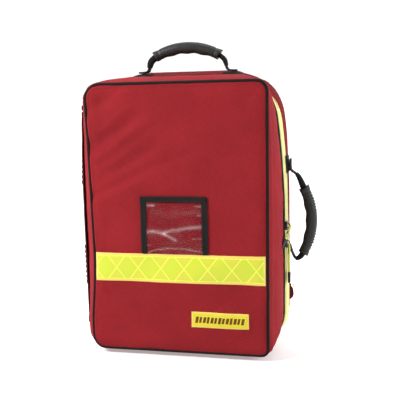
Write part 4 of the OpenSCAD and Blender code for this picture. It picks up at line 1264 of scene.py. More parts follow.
def build_plates():
    def back(x, z):
        d = np.maximum(edge_in(x, z, 176, 496, 5.4, 62), 0)
        y = 1.2 * (1 - exp(-d / 10)) - 1.6 * exp(-d / 3) + 0.35 * vnoise(x / 45, z / 50, 91)
        return np.minimum(y, 0.2) - 0.3
    plate_piece("back_panel_padded", M["backcloth"], "case", ["back_panel"], "black_fabric", 175.4, 495.4, 6.0, 75, 53, 1, 99.9, 94.2, back)

    def quilt(x, z):
        c = exp(-(((z - 150) / 2.2) ** 2)) + exp(-(((z - 340) / 2.2) ** 2))
        return 0.7 * c + 0.25 * vnoise(x / 40, z / 40, 92)
    plate_piece("lid_lining_quilted", M["lining"], "lid", ["lid_lining"], "grey_lining", 150.6, 473.4, 17, 18, 12, 0, -93.2, -94.2, lambda x, z: 0.3 - quilt(x, z) * 0.4)
    plate_piece("rear_lining_quilted", M["lining"], "case", ["rear_lining"], "grey_lining", 170, 490, 12, 69, 47, 1, 93.1, 94.1, lambda x, z: -0.3 + quilt(x, z) * 0.4)
    S = Shape()
    nx, ny = 80, 40
    xs, ys = np.linspace(-112, 112, nx), np.linspace(-4, 91, ny)
    X, Y = np.meshgrid(xs, ys, indexing="ij")
    d = np.minimum(np.minimum(X + 112, 112 - X), np.minimum(Y + 4, 91 - Y))
    low = 0.0 + 1.1 * (1 - np.sqrt(np.clip(d / 3.5, 0, 1))) + 0.5 * (np.abs(((X + 112) % 16) - 8) < 1.2) * (d > 4)
    A, B = np.stack([X, Y, low], -1), np.stack([X, Y, np.full_like(X, 2.4)], -1)
    uv = np.stack([X, Y], -1)
    a, b = S.grid(A, uv=uv), S.grid(B, uv=uv)
    ring = [(i, 0) for i in range(nx)] + [(nx - 1, j) for j in range(1, ny)] + [(i, ny - 1) for i in range(nx - 2, -1, -1)] + [(0, j) for j in range(ny - 2, 0, -1)]
    close_rim(S, a, b, ring, ny, uv)
    S.make("base_panel_rubber", M["base"], "case", ["base_panel"], "base_rubber")


# ---------------------------------------------------------------- sliders and pulls
def build_sliders():
    for z, turn, node, body in ((222, -44, "zip_slider_upper", "upper_slider"), (190, 0, "zip_slider_lower", "lower_slider")):
        S = Shape()
        I = np.eye(3)
        one = lambda v: np.array([v], float)
        up = 1 if body == "upper_slider" else -1
        # two flanged plates and the bridge between them
        V, F = boxy((1.5, 12.2, 16), 0.62, 3)
        V[:, 1] *= 1 - 0.16 * np.clip(-V[:, 2] * up / 8, 0, 1)
        S.add(V + [181.2, 0, z], F)
        V2, F2 = boxy((1.1, 11.0, 14.5), 0.5, 2)
        S.add(V2 + [178.1, 0, z], F2)
        V3, F3 = boxy((3.4, 3.2, 5.2), 0.8, 2)
        S.add(V3 + [179.7, 0, z + up * 4.6], F3)
        for s in (-1, 1):
            V4, F4 = boxy((2.0, 1.1, 15.0), 0.45, 2)
            S.add(V4 + [180.2, s * 5.4, z], F4)
        # raised loop that carries the pull
        a = math.radians(turn)
        R = np.array([[1, 0, 0], [0, math.cos(a), -math.sin(a)], [0, math.sin(a), math.cos(a)]])
        k = np.linspace(0, pi, 15)
        arch = np.stack([2.0 + 2.1 * sin(k) ** 0.8, np.zeros(15), 4.1 * cos(k)], 1)
        arch = np.concatenate([[[0.2, 0, 4.3]], arch, [[0.2, 0, -4.3]]])
        arch = (arch @ R.T) + [181.6, 0, z]
        side = (np.array([0, 1.0, 0]) @ R.T)
        S.tube(arch, 0.95, 10, up=side)
        S.make(node + "_cast", M["metal"], body, [node], "slider_metal", sharp=45)


def pull_frame(which):
    """Origin and axes (out, along the pin, down) of a pull as it hangs at rest."""
    if which == "lower":
        return np.array([184.6, 0, 190.0]), np.array([1.0, 0, 0]), np.array([0, 1.0, 0]), np.array([0, 0, -1.0])
    a, b = math.radians(-44), math.radians(15)
    Rx = np.array([[1, 0, 0], [0, math.cos(a), -math.sin(a)], [0, math.sin(a), math.cos(a)]])
    Ry = np.array([[math.cos(b), 0, math.sin(b)], [0, 1, 0], [-math.sin(b), 0, math.cos(b)]])
    R = Rx @ Ry
    return np.array([187.2, 0, 222.0]), R @ [1.0, 0, 0], R @ [0, 1.0, 0], R @ [0, 0, -1.0]


def build_pulls():
    for which, leg, tip, lean in (("upper", 30.0, 20.0, 0.4), ("lower", 52.0, 22.0, 0.0)):
        o, ex, ey, ez = pull_frame(which)
        local = [(-0.0, 2.6, leg + 3), (0.1, 3.2, leg - 3), (0.1, 3.6, leg * 0.62), (0.1, 3.7, leg * 0.3), (0, 3.6, 6), (0, 2.9, 1.6), (0, 1.2, -0.05),
                 (0, -1.2, -0.05), (0, -2.9, 1.6), (0, -3.6, 6), (0.1, -3.7, leg * 0.3), (0.1, -3.6, leg * 0.62), (0.1, -3.2, leg - 3), (-0.0, -2.6, leg + 3)]
        P = spline([o + ex * a + ey * b + ez * c for a, b, c in local], 0.9)
        S = Shape()
        # braided surface: the radius carries a fine spiral
        k = np.arange(len(P))
        S.tube(P, 1.5 + 0.07 * sin(k * 1.9), 12, up=ex)
        body = which + "_pull"
        c = S.make(which + "_pull_cord_loop", M["cord"], body, [which + "_pull_cord"], "lime_cord")
        # moulded end with finger ribs
        G = Shape()
        n = 30
        t = np.linspace(0, 1, n)
        w = 5.3 - 0.9 * t - 0.5 * exp(-(((t - 0.25) / 0.10) ** 2)) - 0.5 * exp(-(((t - 0.5) / 0.10) ** 2)) - 0.5 * exp(-(((t - 0.75) / 0.10) ** 2))
        w *= np.sqrt(np.clip(1 - (2 * t - 1) ** 12, 0.02, 1))
        h = 2.75 - 0.35 * t
        h *= np.sqrt(np.clip(1 - (2 * t - 1) ** 12, 0.02, 1))
        m = 20
        an = np.arange(m) * 2 * pi / m
        pr = np.stack([np.sign(cos(an)) * np.abs(cos(an)) ** 0.7, np.sign(sin(an)) * np.abs(sin(an)) ** 0.7], 1)
        path = np.array([o + ez * (leg + 0.1 + tip * q) for q in t])
        G.sweep(path, pr, np.tile(ey, (n, 1)), np.tile(ex, (n, 1)), scale=np.stack([w, h], 1))
        g = G.make(which + "_pull_grip_ribbed", M["pull"] if which == "upper" else M["rubber"], body, [which + "_pull_grip"], "black_rubber")
        # black split ring between slider and cord
        if which == "upper":
            R = Shape()
            k = np.arange(40) * 2 * pi / 40
            cpt = o + ez * 18.5 + ex * 0.0
            ring = np.array([cpt + ey * 5.0 * math.cos(q) * 1.0 + ez * 5.0 * math.sin(q) + ex * 0.15 * math.sin(2 * q) for q in k])
            R.tube(ring, 1.3, 10, closed=True, up=ex)
            R.make("upper_pull_ring", M["metal"], body, (), "slider_metal")


# ---------------------------------------------------------------- moulded grips and their webbing
GRIP = 57.5
TOP_RUN = lambda s: np.stack([GRIP * s, 526.5 + 13.5 * (1 - s * s)], 1)
SIDE_RUN = lambda s: np.stack([228 + GRIP * 1.02 * s, 208.6 + 13.5 * (1 - s * s) + 0.3 * s], 1)


def grip_mesh(run, place, out, name, body, node, ribbed=False):
    """An over-moulded grip: flared collars with pointed lips, grooved shoulders, smooth crown and finger waves inside."""
    n, m = 220, 40
    s = np.linspace(-1, 1, n)
    P2 = run(s)
    t2 = tangents(P2)
    q2 = np.stack([-t2[:, 1], t2[:, 0]], 1) * out
    a = np.abs(s)
    lip = sstep(0.90, 0.99, a)
    neck = exp(-(((a - 0.875) / 0.028) ** 2))
    rib = sstep(0.28, 0.31, a) * sstep(0.83, 0.80, a)
    saw = ((a - 0.30) / 0.0835) % 1.0
    grooves = rib * (saw if ribbed else 0.35 * (0.5 + 0.5 * cos((a - 0.70) * 2 * pi / 0.068)))
    hi = 9.3 + 1.5 * (1 - s * s) + 0.9 * lip - 0.5 * neck - (2.7 if ribbed else 0.5) * grooves + (1.1 if ribbed else 0.3) * rib
    lo = 8.6 + 1.0 * (1 - s * s) + 0.3 * lip - 0.4 * neck + (1 - sstep(0.80, 0.88, a)) * 0.75 * cos(2 * pi * s * 2)
    hw = 11.2 + 0.9 * (1 - s * s) + 0.7 * lip - 0.7 * neck - 0.5 * grooves
    rings = []
    for i in range(n):
        ring = []
        for k in range(m):
            an = 2 * pi * k / m
            c, d = math.cos(an), math.sin(an)
            e = 0.86
            c2, d2 = math.copysign(abs(c) ** e, c), math.copysign(abs(d) ** e, d)
            h = hi[i] if d > 0 else lo[i]
            # parting line of the mould along both flanks
            ridge = 0.22 * math.exp(-((d / 0.055) ** 2))
            e = math.copysign(3.6 * sstep(0.92, 1.0, a[i]) * max(0.0, d) ** 1.5 - 1.5 * sstep(0.92, 1.0, a[i]) * max(0.0, -d), s[i])
            u, v = P2[i] + q2[i] * d2 * h + t2[i] * e
            ring.append(place(u, (hw[i] + ridge) * c2, v))
        rings.append(ring)
    S = Shape()
    R = np.array(rings)
    # ends turn in towards the webbing slot
    mid0, mid1 = R[0].mean(0), R[-1].mean(0)
    tin0, tin1 = (R[1] - R[0]).mean(0), (R[-1] - R[-2]).mean(0)
    ends0 = [mid0 + (R[0] - mid0) * f + tin0 * d for f, d in ((0.40, 2.6), (0.62, 0.9), (0.86, -0.35))]
    ends1 = [mid1 + (R[-1] - mid1) * f - tin1 * d for f, d in ((0.86, -0.35), (0.62, 0.9), (0.40, 2.6))]
    R = np.concatenate([np.array(ends0), R, np.array(ends1)])
    a0 = S.grid(R, cj=True)
    S.fan(list(range(a0, a0 + m)))
    S.fan(list(range(a0 + (len(R) - 1) * m, a0 + len(R) * m)))
    return S.make(name, M["grip"], body, [node], "grip_rubber")


def top_place(u, y, v):
    return (u, 22 + y, v)


def side_place(u, y, v):
    return (v, 22 + y, u)


def build_handles():
    grip_mesh(TOP_RUN, top_place, 1, "top_grip_moulded", "top_handle", "top_handle_grip")
    grip_mesh(SIDE_RUN, side_place, 1, "side_grip_moulded", "side_handle", "side_handle_grip", True)
    g = GRIP
    S = Shape()
    legs = []
    for sgn in (-1, 1):
        pts = [(sgn * (g + 32), 498.6), (sgn * (g + 24), 498.9), (sgn * (g + 17.5), 499.9), (sgn * (g + 14.3), 503.5), (sgn * (g + 12.6), 511),
               (sgn * (g + 9.8), 518.2), (sgn * (g + 4), 523.6), (sgn * (g - 5), 529.8), (sgn * (g - 14), 533)]
        p = spline(pts, 1.5)
        P = np.stack([p[:, 0], np.full(len(p), 22.0), p[:, 1]], 1)
        t = tangents(P)
        nrm = np.cross(t, np.array([0, 1.0, 0]))
        wid = np.interp(P[:, 2], [499, 503, 510, 520, 526], [1.55, 1.35, 1.1, 1.0, 1.0])
        strap(S, P, nrm, 13.4, 3.1, scale=np.stack([wid, np.ones(len(P))], 1))
        legs.append((P, nrm, wid))
    o = S.make("top_handle_webbing_legs", M["webbing"], None, ["top_handle_webbing"], "black_webbing")
    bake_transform(o)
    # sleeves where the webbing runs up into the collars
    K = Shape()
    for P, nrm, wid in legs:
        sel = (P[:, 2] > 505.5) & (P[:, 2] < 528)
        Q = P[sel]
        f = np.interp(Q[:, 2], [505.5, 509, 516, 528], [0.75, 1.0, 1.25, 1.35])
        strap(K, Q, nrm[sel], 15.8, 8.6 if P[0, 0] < 0 else 6.0, scale=np.stack([np.ones(len(Q)), f], 1))
    K.make("top_handle_sleeves", M["binding"], "top_handle", (), "black_webbing")
    # sewn-down ends with box stitching
    A, T = Shape(), Shape()
    for sgn in (-1, 1):
        cx = sgn * (g + 24)
        xs, ys = np.linspace(-17, 17, 20), np.linspace(-13.5, 13.5, 16)
        X, Y = np.meshgrid(xs, ys, indexing="ij")
        d = np.minimum(17 - np.abs(X), 13.5 - np.abs(Y))
        base = np.array([[rear_top_z(cx + x, 22 + y) for y in ys] for x in xs])
        Z = base + 0.5 + 0.8 * np.sqrt(np.clip(d / 1.5, 0, 1))
        top, bot = np.stack([X + cx, Y + 22, Z], -1), np.stack([X + cx, Y + 22, base + 0.1], -1)
        uv = np.stack([X, Y], -1)
        a, b = A.grid(top, uv=uv), A.grid(bot, uv=uv)
        ring = [(i, 0) for i in range(20)] + [(19, j) for j in range(1, 16)] + [(i, 15) for i in range(18, -1, -1)] + [(0, j) for j in range(14, 0, -1)]
        close_rim(A, a, b, ring, 16, uv)
        up = np.array([0, 0, 1.0])
        zf = lambda x, y: rear_top_z(x, y) + 1.35
        for (x0, y0), (x1, y1) in (((-14, -11), (14, -11)), ((-14, 11), (14, 11)), ((-14, -11), (-14, 11)), ((14, -11), (14, 11)), ((-14, -11), (14, 11)), ((-14, 11), (14, -11))):
            k = np.linspace(0, 1, 12)
            P = np.array([[cx + x0 + (x1 - x0) * q, 22 + y0 + (y1 - y0) * q, zf(cx + x0 + (x1 - x0) * q, 22 + y0 + (y1 - y0) * q)] for q in k])
            stitches(T, P, up, length=2.4, gap=0.9, r=0.3)
    A.make("top_handle_anchor_patches", M["webbing"], "case", ["top_handle_anchors"], "black_webbing")
    # side handle
    S, K = Shape(), Shape()
    runs = [
        [(340, 184.9), (326, 185.1), (319.5, 186.6), (315.6, 191.5), (310.5, 197.6), (302, 202.3), (290, 207.5), (281, 212.6), (272, 216.5)],
        [(184, 216.6), (174, 211.8), (167, 207.2), (160.6, 202.6), (157.4, 197.6), (159.4, 192.9), (165, 190.0), (172, 187.2), (178, 185.2), (181, 184.7)],
    ]
    for pts in runs:
        p = spline([(a, b) for a, b in pts], 1.5)
        P = np.stack([p[:, 1], np.full(len(p), 22.0), p[:, 0]], 1)
        t = tangents(P)
        nrm = np.cross(t, np.array([0, 1.0, 0]))
        wid = np.interp(P[:, 0], [185, 189, 196, 204], [1.7, 1.35, 1.05, 1.0])
        strap(S, P, nrm, 13.4, 3.0, scale=np.stack([wid, np.ones(len(P))], 1))
        sel = (P[:, 0] > 194.2) & (P[:, 0] < 211)
        if sel.sum() > 3:
            f = np.interp(P[sel][:, 0], [194.2, 198, 206, 211], [0.62, 0.8, 1.15, 1.2])
            strap(K, P[sel], nrm[sel], 15.6, 9.2, scale=np.stack([np.ones(int(sel.sum())), f], 1))
    o = S.make("side_handle_webbing_legs", M["webbing"], None, ["side_handle_webbing"], "black_webbing")
    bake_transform(o)
    K.make("side_handle_sleeves", M["binding"], "side_handle", (), "black_webbing")
    A2 = Shape()
    for z0, z1 in ((315.5, 346.5), (166.5, 183.5)):
        ys, zs = np.linspace(-13.5, 13.5, 14), np.linspace(z0, z1, 18)
        Y, Z = np.meshgrid(ys, zs, indexing="ij")
        d = np.minimum(13.5 - np.abs(Y), np.minimum(Z - z0, z1 - Z))
        base = np.array([[rear_side_x(22 + y, z) for z in zs] for y in ys])
        X = base + 0.7 + 0.9 * np.sqrt(np.clip(d / 1.5, 0, 1))
        top, bot = np.stack([X, Y + 22, Z], -1), np.stack([base - 0.4, Y + 22, Z], -1)
        uv = np.stack([Y, Z], -1)
        a, b = A2.grid(top, uv=uv), A2.grid(bot, uv=uv)
        ring = [(i, 0) for i in range(14)] + [(13, j) for j in range(1, 18)] + [(i, 17) for i in range(12, -1, -1)] + [(0, j) for j in range(16, 0, -1)]
        close_rim(A2, a, b, ring, 18, uv)
        nx = np.array([1.0, 0, 0])
        zc0, zc1 = z0 + 2, z1 - 2
        for (y0, c0), (y1, c1) in (((-11, zc0), (11, zc0)), ((-11, zc1), (11, zc1)), ((-11, zc0), (-11, zc1)), ((11, zc0), (11, zc1)), ((-11, zc0), (11, zc1)), ((-11, zc1), (11, zc0))):
            k = np.linspace(0, 1, 12)
            P = np.array([[rear_side_x(22 + y0 + (y1 - y0) * q, c0 + (c1 - c0) * q) + 1.65, 22 + y0 + (y1 - y0) * q, c0 + (c1 - c0) * q] for q in k])
            stitches(T, P, nx, length=2.4, gap=0.9, r=0.3)
    A2.make("side_handle_anchor_patches", M["webbing"], "case", ["side_handle_anchors"], "black_webbing")
    T.make("handle_box_stitching", M["thread_black"], "case", (), "black_webbing")


def rear_top_z(x, y):
    w, zt, zb, rt, rb, k, c, q = station(TRAY_ST, float(np.clip(y, 8, 94)))
    d = max(0.0, abs(x) - (w * 0.885 - rt))
    return zt - (rt - math.sqrt(max(1.0, rt * rt - d * d))) + 0.9 * math.sin(pi * min(1, max(0, (y - 8) / 86))) * 0.6


def rear_side_x(y, z):
    w, zt, zb, rt, rb, k, c, q = station(TRAY_ST, float(np.clip(y, 8, 94)))
    return w + c - k * 0.0004 * max(0, z - 250) ** 2 + 0.45


# ---------------------------------------------------------------- padded pieces puffed up with the cloth solver
def solid_mesh(name, V, F):
    me = bpy.data.meshes.new(name)
    me.from_pydata((np.asarray(V) * MM).tolist(), [], F)
    me.update()
    o = bpy.data.objects.new(name, me)
    bpy.context.scene.collection.objects.link(o)
    return o


def bake_modifiers(o):
    dg = bpy.context.evaluated_depsgraph_get()
    me = bpy.data.meshes.new_from_object(o.evaluated_get(dg))
    o.modifiers.clear()
    old = o.data
    o.data = me
    bpy.data.meshes.remove(old)


def puff(objs, voxel, pressure, cap, frames=20):
    """Voxel remesh, 20 frames of cloth under pressure without gravity, movement capped, one subdivision."""
    rest = {}
    for o in objs:
        r = o.modifiers.new("remesh", "REMESH")
        r.mode = "VOXEL"
        r.voxel_size = voxel * MM
        bake_modifiers(o)
        co = np.array([v.co for v in o.data.vertices])
        rest[o.name] = co
    for o in objs:
        c = o.modifiers.new("cloth", "CLOTH")
        s = c.settings
        s.use_pressure = True
        s.uniform_pressure_force = pressure
        s.effector_weights.gravity = 0
        s.quality = 5
        s.tension_stiffness = s.compression_stiffness = 12
        s.bending_stiffness = 0.6
        c.point_cache.frame_start, c.point_cache.frame_end = 1, frames
    sc = bpy.context.scene
    for f in range(1, frames + 1):
        sc.frame_set(f)
    dg = bpy.context.evaluated_depsgraph_get()
    new = {}
    for o in objs:
        e = o.evaluated_get(dg)
        new[o.name] = np.array([v.co for v in e.data.vertices])
    for o in objs:
        o.modifiers.clear()
        d = new[o.name] - rest[o.name]
        L = np.linalg.norm(d, axis=1, keepdims=True)
        d *= np.minimum(1, cap * MM / np.maximum(L, 1e-9))
        d = np.nan_to_num(d)
        o.data.vertices.foreach_set("co", (rest[o.name] + d).astype(np.float32).ravel())
        o.data.update()
    sc.frame_set(1)
    for o in objs:
        m = o.modifiers.new("smooth", "SUBSURF")
        m.levels = m.render_levels = 1
        bake_modifiers(o)


def box_uv(o):
    me = o.data
    for l in list(me.uv_layers):
        me.uv_layers.remove(l)
    layer = me.uv_layers.new(name="UVMap")
    co = np.zeros(len(me.vertices) * 3, np.float32)
    me.vertices.foreach_get("co", co)
    co = co.reshape(-1, 3)
    lv = np.zeros(len(me.loops), np.int32)
    me.loops.foreach_get("vertex_index", lv)
    nrm = np.zeros(len(me.polygons) * 3, np.float32)
    me.polygons.foreach_get("normal", nrm)
    nrm = np.abs(nrm.reshape(-1, 3))
    ls = np.zeros(len(me.polygons), np.int32)
    me.polygons.foreach_get("loop_start", ls)
    lt = np.zeros(len(me.polygons), np.int32)
    me.polygons.foreach_get("loop_total", lt)
    ax = np.repeat(np.argmax(nrm, 1), lt)
    c = co[lv] * 1000
    uv = np.where((ax == 0)[:, None], c[:, [1, 2]], np.where((ax == 1)[:, None], c[:, [0, 2]], c[:, [0, 1]]))
    layer.data.foreach_set("uv", uv.astype(np.float32).ravel())
    me.polygons.foreach_set("use_smooth", np.full(len(me.polygons), True))


def dress(o, mat, body, stand):
    o.data.materials.clear()
    o.data.materials.append(mat)
    box_uv(o)
    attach(o, body)
    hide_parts(*stand)
    return o


POUCHES = {"pouch_lower_left": (-160, 18, -5, 162), "pouch_lower_right": (5, 18, 160, 162),
           "pouch_upper_left": (-160, 168, -5, 314), "pouch_upper_right": (5, 168, 160, 314)}


def build_pouches():
    objs = []
    for n, (x0, z0, x1, z1) in POUCHES.items():
        V, F = boxy((x1 - x0 - 6, 66, z1 - z0 - 6), 11, 3)
        o = solid_mesh(n + "_puffed", V + [(x0 + x1) / 2, 56.0, (z0 + z1) / 2], F)
        objs.append(o)
    puff(objs, 5.0, 4.0, 5.0)
    trees, tapes, W, E, TT, SL = {}, Shape(), Shape(), Shape(), Shape(), Shape()
    for o, (n, (x0, z0, x1, z1)) in zip(objs, POUCHES.items()):
        co = np.array([v.co for v in o.data.vertices]) * 1000
        # the walls of the case hold the pouches in their cells
        co[:, 0] = np.clip(co[:, 0], x0 - 0.5, x1 + 0.5)
        co[:, 2] = np.clip(co[:, 2], z0 - 0.3, z1 + 1.0)
        co[:, 1] = np.clip(co[:, 1], 17.9, 91.4)
        rng = vnoise(co[:, 0] / 18, co[:, 2] / 18, 101) * 0.6
        front = sstep(30, 20, co[:, 1])
        co[:, 1] += (0.6 + rng) * front * 0.8
        o.data.vertices.foreach_set("co", (co * MM).astype(np.float32).ravel())
        o.data.update()
        dress(o, M["pouch"], "case", [n])
        bm = bmesh.new()
        bm.from_mesh(o.data)
        trees[n] = BVHTree.FromBMesh(bm)
        bm.free()

    def front_of(x, z, lo=30.0):
        best = None
        for n, t in trees.items():
            hit = t.ray_cast(Vector((x * MM, -0.02, z * MM)), Vector((0, 1, 0)))
            if hit[0] is not None and (best is None or hit[0].y * 1000 < best):
                best = hit[0].y * 1000
        return best if best is not None and best < lo else lo

    # clear windows with bound edges, zips round their tops, pull tabs
    for n, (x0, z0, x1, z1) in POUCHES.items():
        wx0 = -146.5 if x0 < 0 else 18.5
        wz0 = 36 if z0 < 100 else 188
        xs, zs = np.linspace(wx0, wx0 + 128, 44), np.linspace(wz0, wz0 + 100, 36)
        Y = np.array([[front_of(x, z) for z in zs] for x in xs])
        X, Z = np.meshgrid(xs, zs, indexing="ij")
        wv = 0.15 * vnoise(X / 20, Z / 12, 103)
        top, bot = np.stack([X, Y - 0.55 - wv, Z], -1), np.stack([X, Y - 0.20 - wv, Z], -1)
        uv = np.stack([X, Z], -1)
        a, b = W.grid(top, uv=uv), W.grid(bot, uv=uv)
        ring = [(i, 0) for i in range(44)] + [(43, j) for j in range(1, 36)] + [(i, 35) for i in range(42, -1, -1)] + [(0, j) for j in range(34, 0, -1)]
        close_rim(W, a, b, ring, 36, uv)
        for (ax_, az_), (bx_, bz_) in (((wx0, wz0), (wx0 + 128, wz0)), ((wx0, wz0 + 100), (wx0 + 128, wz0 + 100)), ((wx0, wz0 - 4), (wx0, wz0 + 104)), ((wx0 + 128, wz0 - 4), (wx0 + 128, wz0 + 104))):
            k = np.linspace(0, 1, 44)
            P = np.array([[ax_ + (bx_ - ax_) * q, 0, az_ + (bz_ - az_) * q] for q in k])
            P[:, 1] = [front_of(p[0], p[2]) - 0.75 for p in P]
            strap(E, P, np.array([0, -1.0, 0]), 9.0, 1.1)
            P2 = P.copy()
            P2[:, 1] -= 0.5
            stitches(TT, P2, np.array([0, -1.0, 0]), length=2.5, gap=1.2, r=0.25)
        zz = z1 - 14 if z0 < 100 else z1 - 12
        k = np.linspace(x0 + 16, x1 - 16, 50)
        P = np.array([[x, front_of(x, zz) - 0.35, zz] for x in k])
        strap(E, P, np.array([0, -1.0, 0]), 12.0, 0.9)
        part = boxy((1.5, 1.1, 3.4), 0.3, 1)
        Q = resample(P, 2.6)
        nq = len(Q)
        SL.stamp(part, Q - [0, 0.75, 0], np.tile([1.0, 0, 0], (nq, 1)), np.tile([0, 1.0, 0], (nq, 1)), np.tile([0, 0, 1.0], (nq, 1)))
        sx = x0 + 24
        V, F = boxy((9, 1.6, 7), 0.6, 2)
        SL.add(V + [sx, front_of(sx, zz) - 1.6, zz], F)
        V, F = boxy((4.6, 1.3, 15), 0.5, 2)
        SL.add(V + [sx + 1, front_of(sx, zz - 8) - 1.8, zz - 9], F)
    W.make("pouch_window_films", M["film_in"], "case", ["pouch_windows"], "clear_film")
    E.make("pouch_bindings", M["binding"], "case", (), "black_binding")
    TT.make("pouch_stitching", M["thread_black"], "case", (), "black_binding")
    SL.make("pouch_zips", M["teeth"], "case", (), "zip_teeth", sharp=40)
    # elastic straps across the pouches, bowed out by them
    R, RT = Shape(), Shape()
    for z0 in (84, 228):
        zc = z0 + 12.5
        xs = np.linspace(-174.5, 174.5, 160)
        raw = np.array([min(front_of(x, zc - 9), front_of(x, zc), front_of(x, zc + 9)) for x in xs])
        raw = np.where(np.abs(xs) > 162, 17.5, raw)
        raw = np.where(np.abs(xs) < 7, 18.0, raw)
        y = raw - 1.9
        for _ in range(6):
            y = np.minimum(y, (np.roll(y, 1) + np.roll(y, -1)) / 2 + 0.12)
            y[0], y[-1] = 15.2, 15.2
        y = np.clip(y, 13.0, 16.4)
        P = np.stack([xs, y, np.full_like(xs, zc)], 1)
        strap(R, P, np.array([0, -1.0, 0]), 25, 1.5)
        for dz in (-10.5, 10.5):
            Q = P.copy()
            Q[:, 2] += dz
            Q[:, 1] -= 0.75
            sel = np.abs(xs) > 162
            for part in (Q[xs < -160], Q[xs > 160]):
                stitches(RT, part, np.array([0, -1.0, 0]), length=2.5, gap=1.2, r=0.25)
    R.make("retention_straps_elastic", M["elastic"], "case", ["retention_straps"], "black_elastic")
    RT.make("retention_strap_stitching", M["thread_black"], "case", (), "black_elastic")


def build_dividers():
    for name, node, size, c in (("shelf_divider_padded", "shelf_divider", (340, 79, 6), (0, 51.5, 321)), ("centre_divider_padded", "centre_divider", (5, 73, 307), (0, 54.5, 163.5))):
        S = Shape()
        k = int(np.argmin(size))
        others = [i for i in range(3) if i != k]
        na, nb = (110, 34) if k == 2 else (30, 100)
        la, lb = size[others[0]], size[others[1]]
        A, B = np.meshgrid(np.linspace(-la / 2, la / 2, na), np.linspace(-lb / 2, lb / 2, nb), indexing="ij")
        d = np.minimum(la / 2 - np.abs(A), lb / 2 - np.abs(B))
        th = size[k] / 2 * (0.62 + 0.38 * np.sqrt(np.clip(d / 7, 0, 1)))
        th = th - 0.5 * exp(-(((d - 8.5) / 1.0) ** 2)) + 0.12 * vnoise(A / 24, B / 24, 111)
        th = np.minimum(th, size[k] / 2)
        for sgn in (1, -1):
            P = np.zeros(A.shape + (3,))
            P[..., others[0]], P[..., others[1]], P[..., k] = A, B, sgn * th
            P += np.array(c)
            uv = np.stack([A, B], -1)
            a = S.grid(P, uv=uv)
            if sgn == 1:
                a0 = a
        ring = [(i, 0) for i in range(na)] + [(na - 1, j) for j in range(1, nb)] + [(i, nb - 1) for i in range(na - 2, -1, -1)] + [(0, j) for j in range(nb - 2, 0, -1)]
        close_rim(S, a0, a, ring, nb, uv)
        o = S.make(name, M["lining"], "case", [node], "grey_lining")
        # bound front edge
        E = Shape()
        if k == 2:
            P = np.stack([np.linspace(-169, 169, 100), np.full(100, 13.6), np.full(100, 321.0)], 1)
            strap(E, P, np.array([0, 0, 1.0]), 5.2, 6.6, r=2.3)
        else:
            P = np.stack([np.zeros(90), np.full(90, 19.6), np.linspace(11, 316, 90)], 1)
            strap(E, P, np.array([1.0, 0, 0]), 5.2, 5.8, r=2.2)
        E.make(name.replace("padded", "binding"), M["binding"], "case", (), "black_binding")


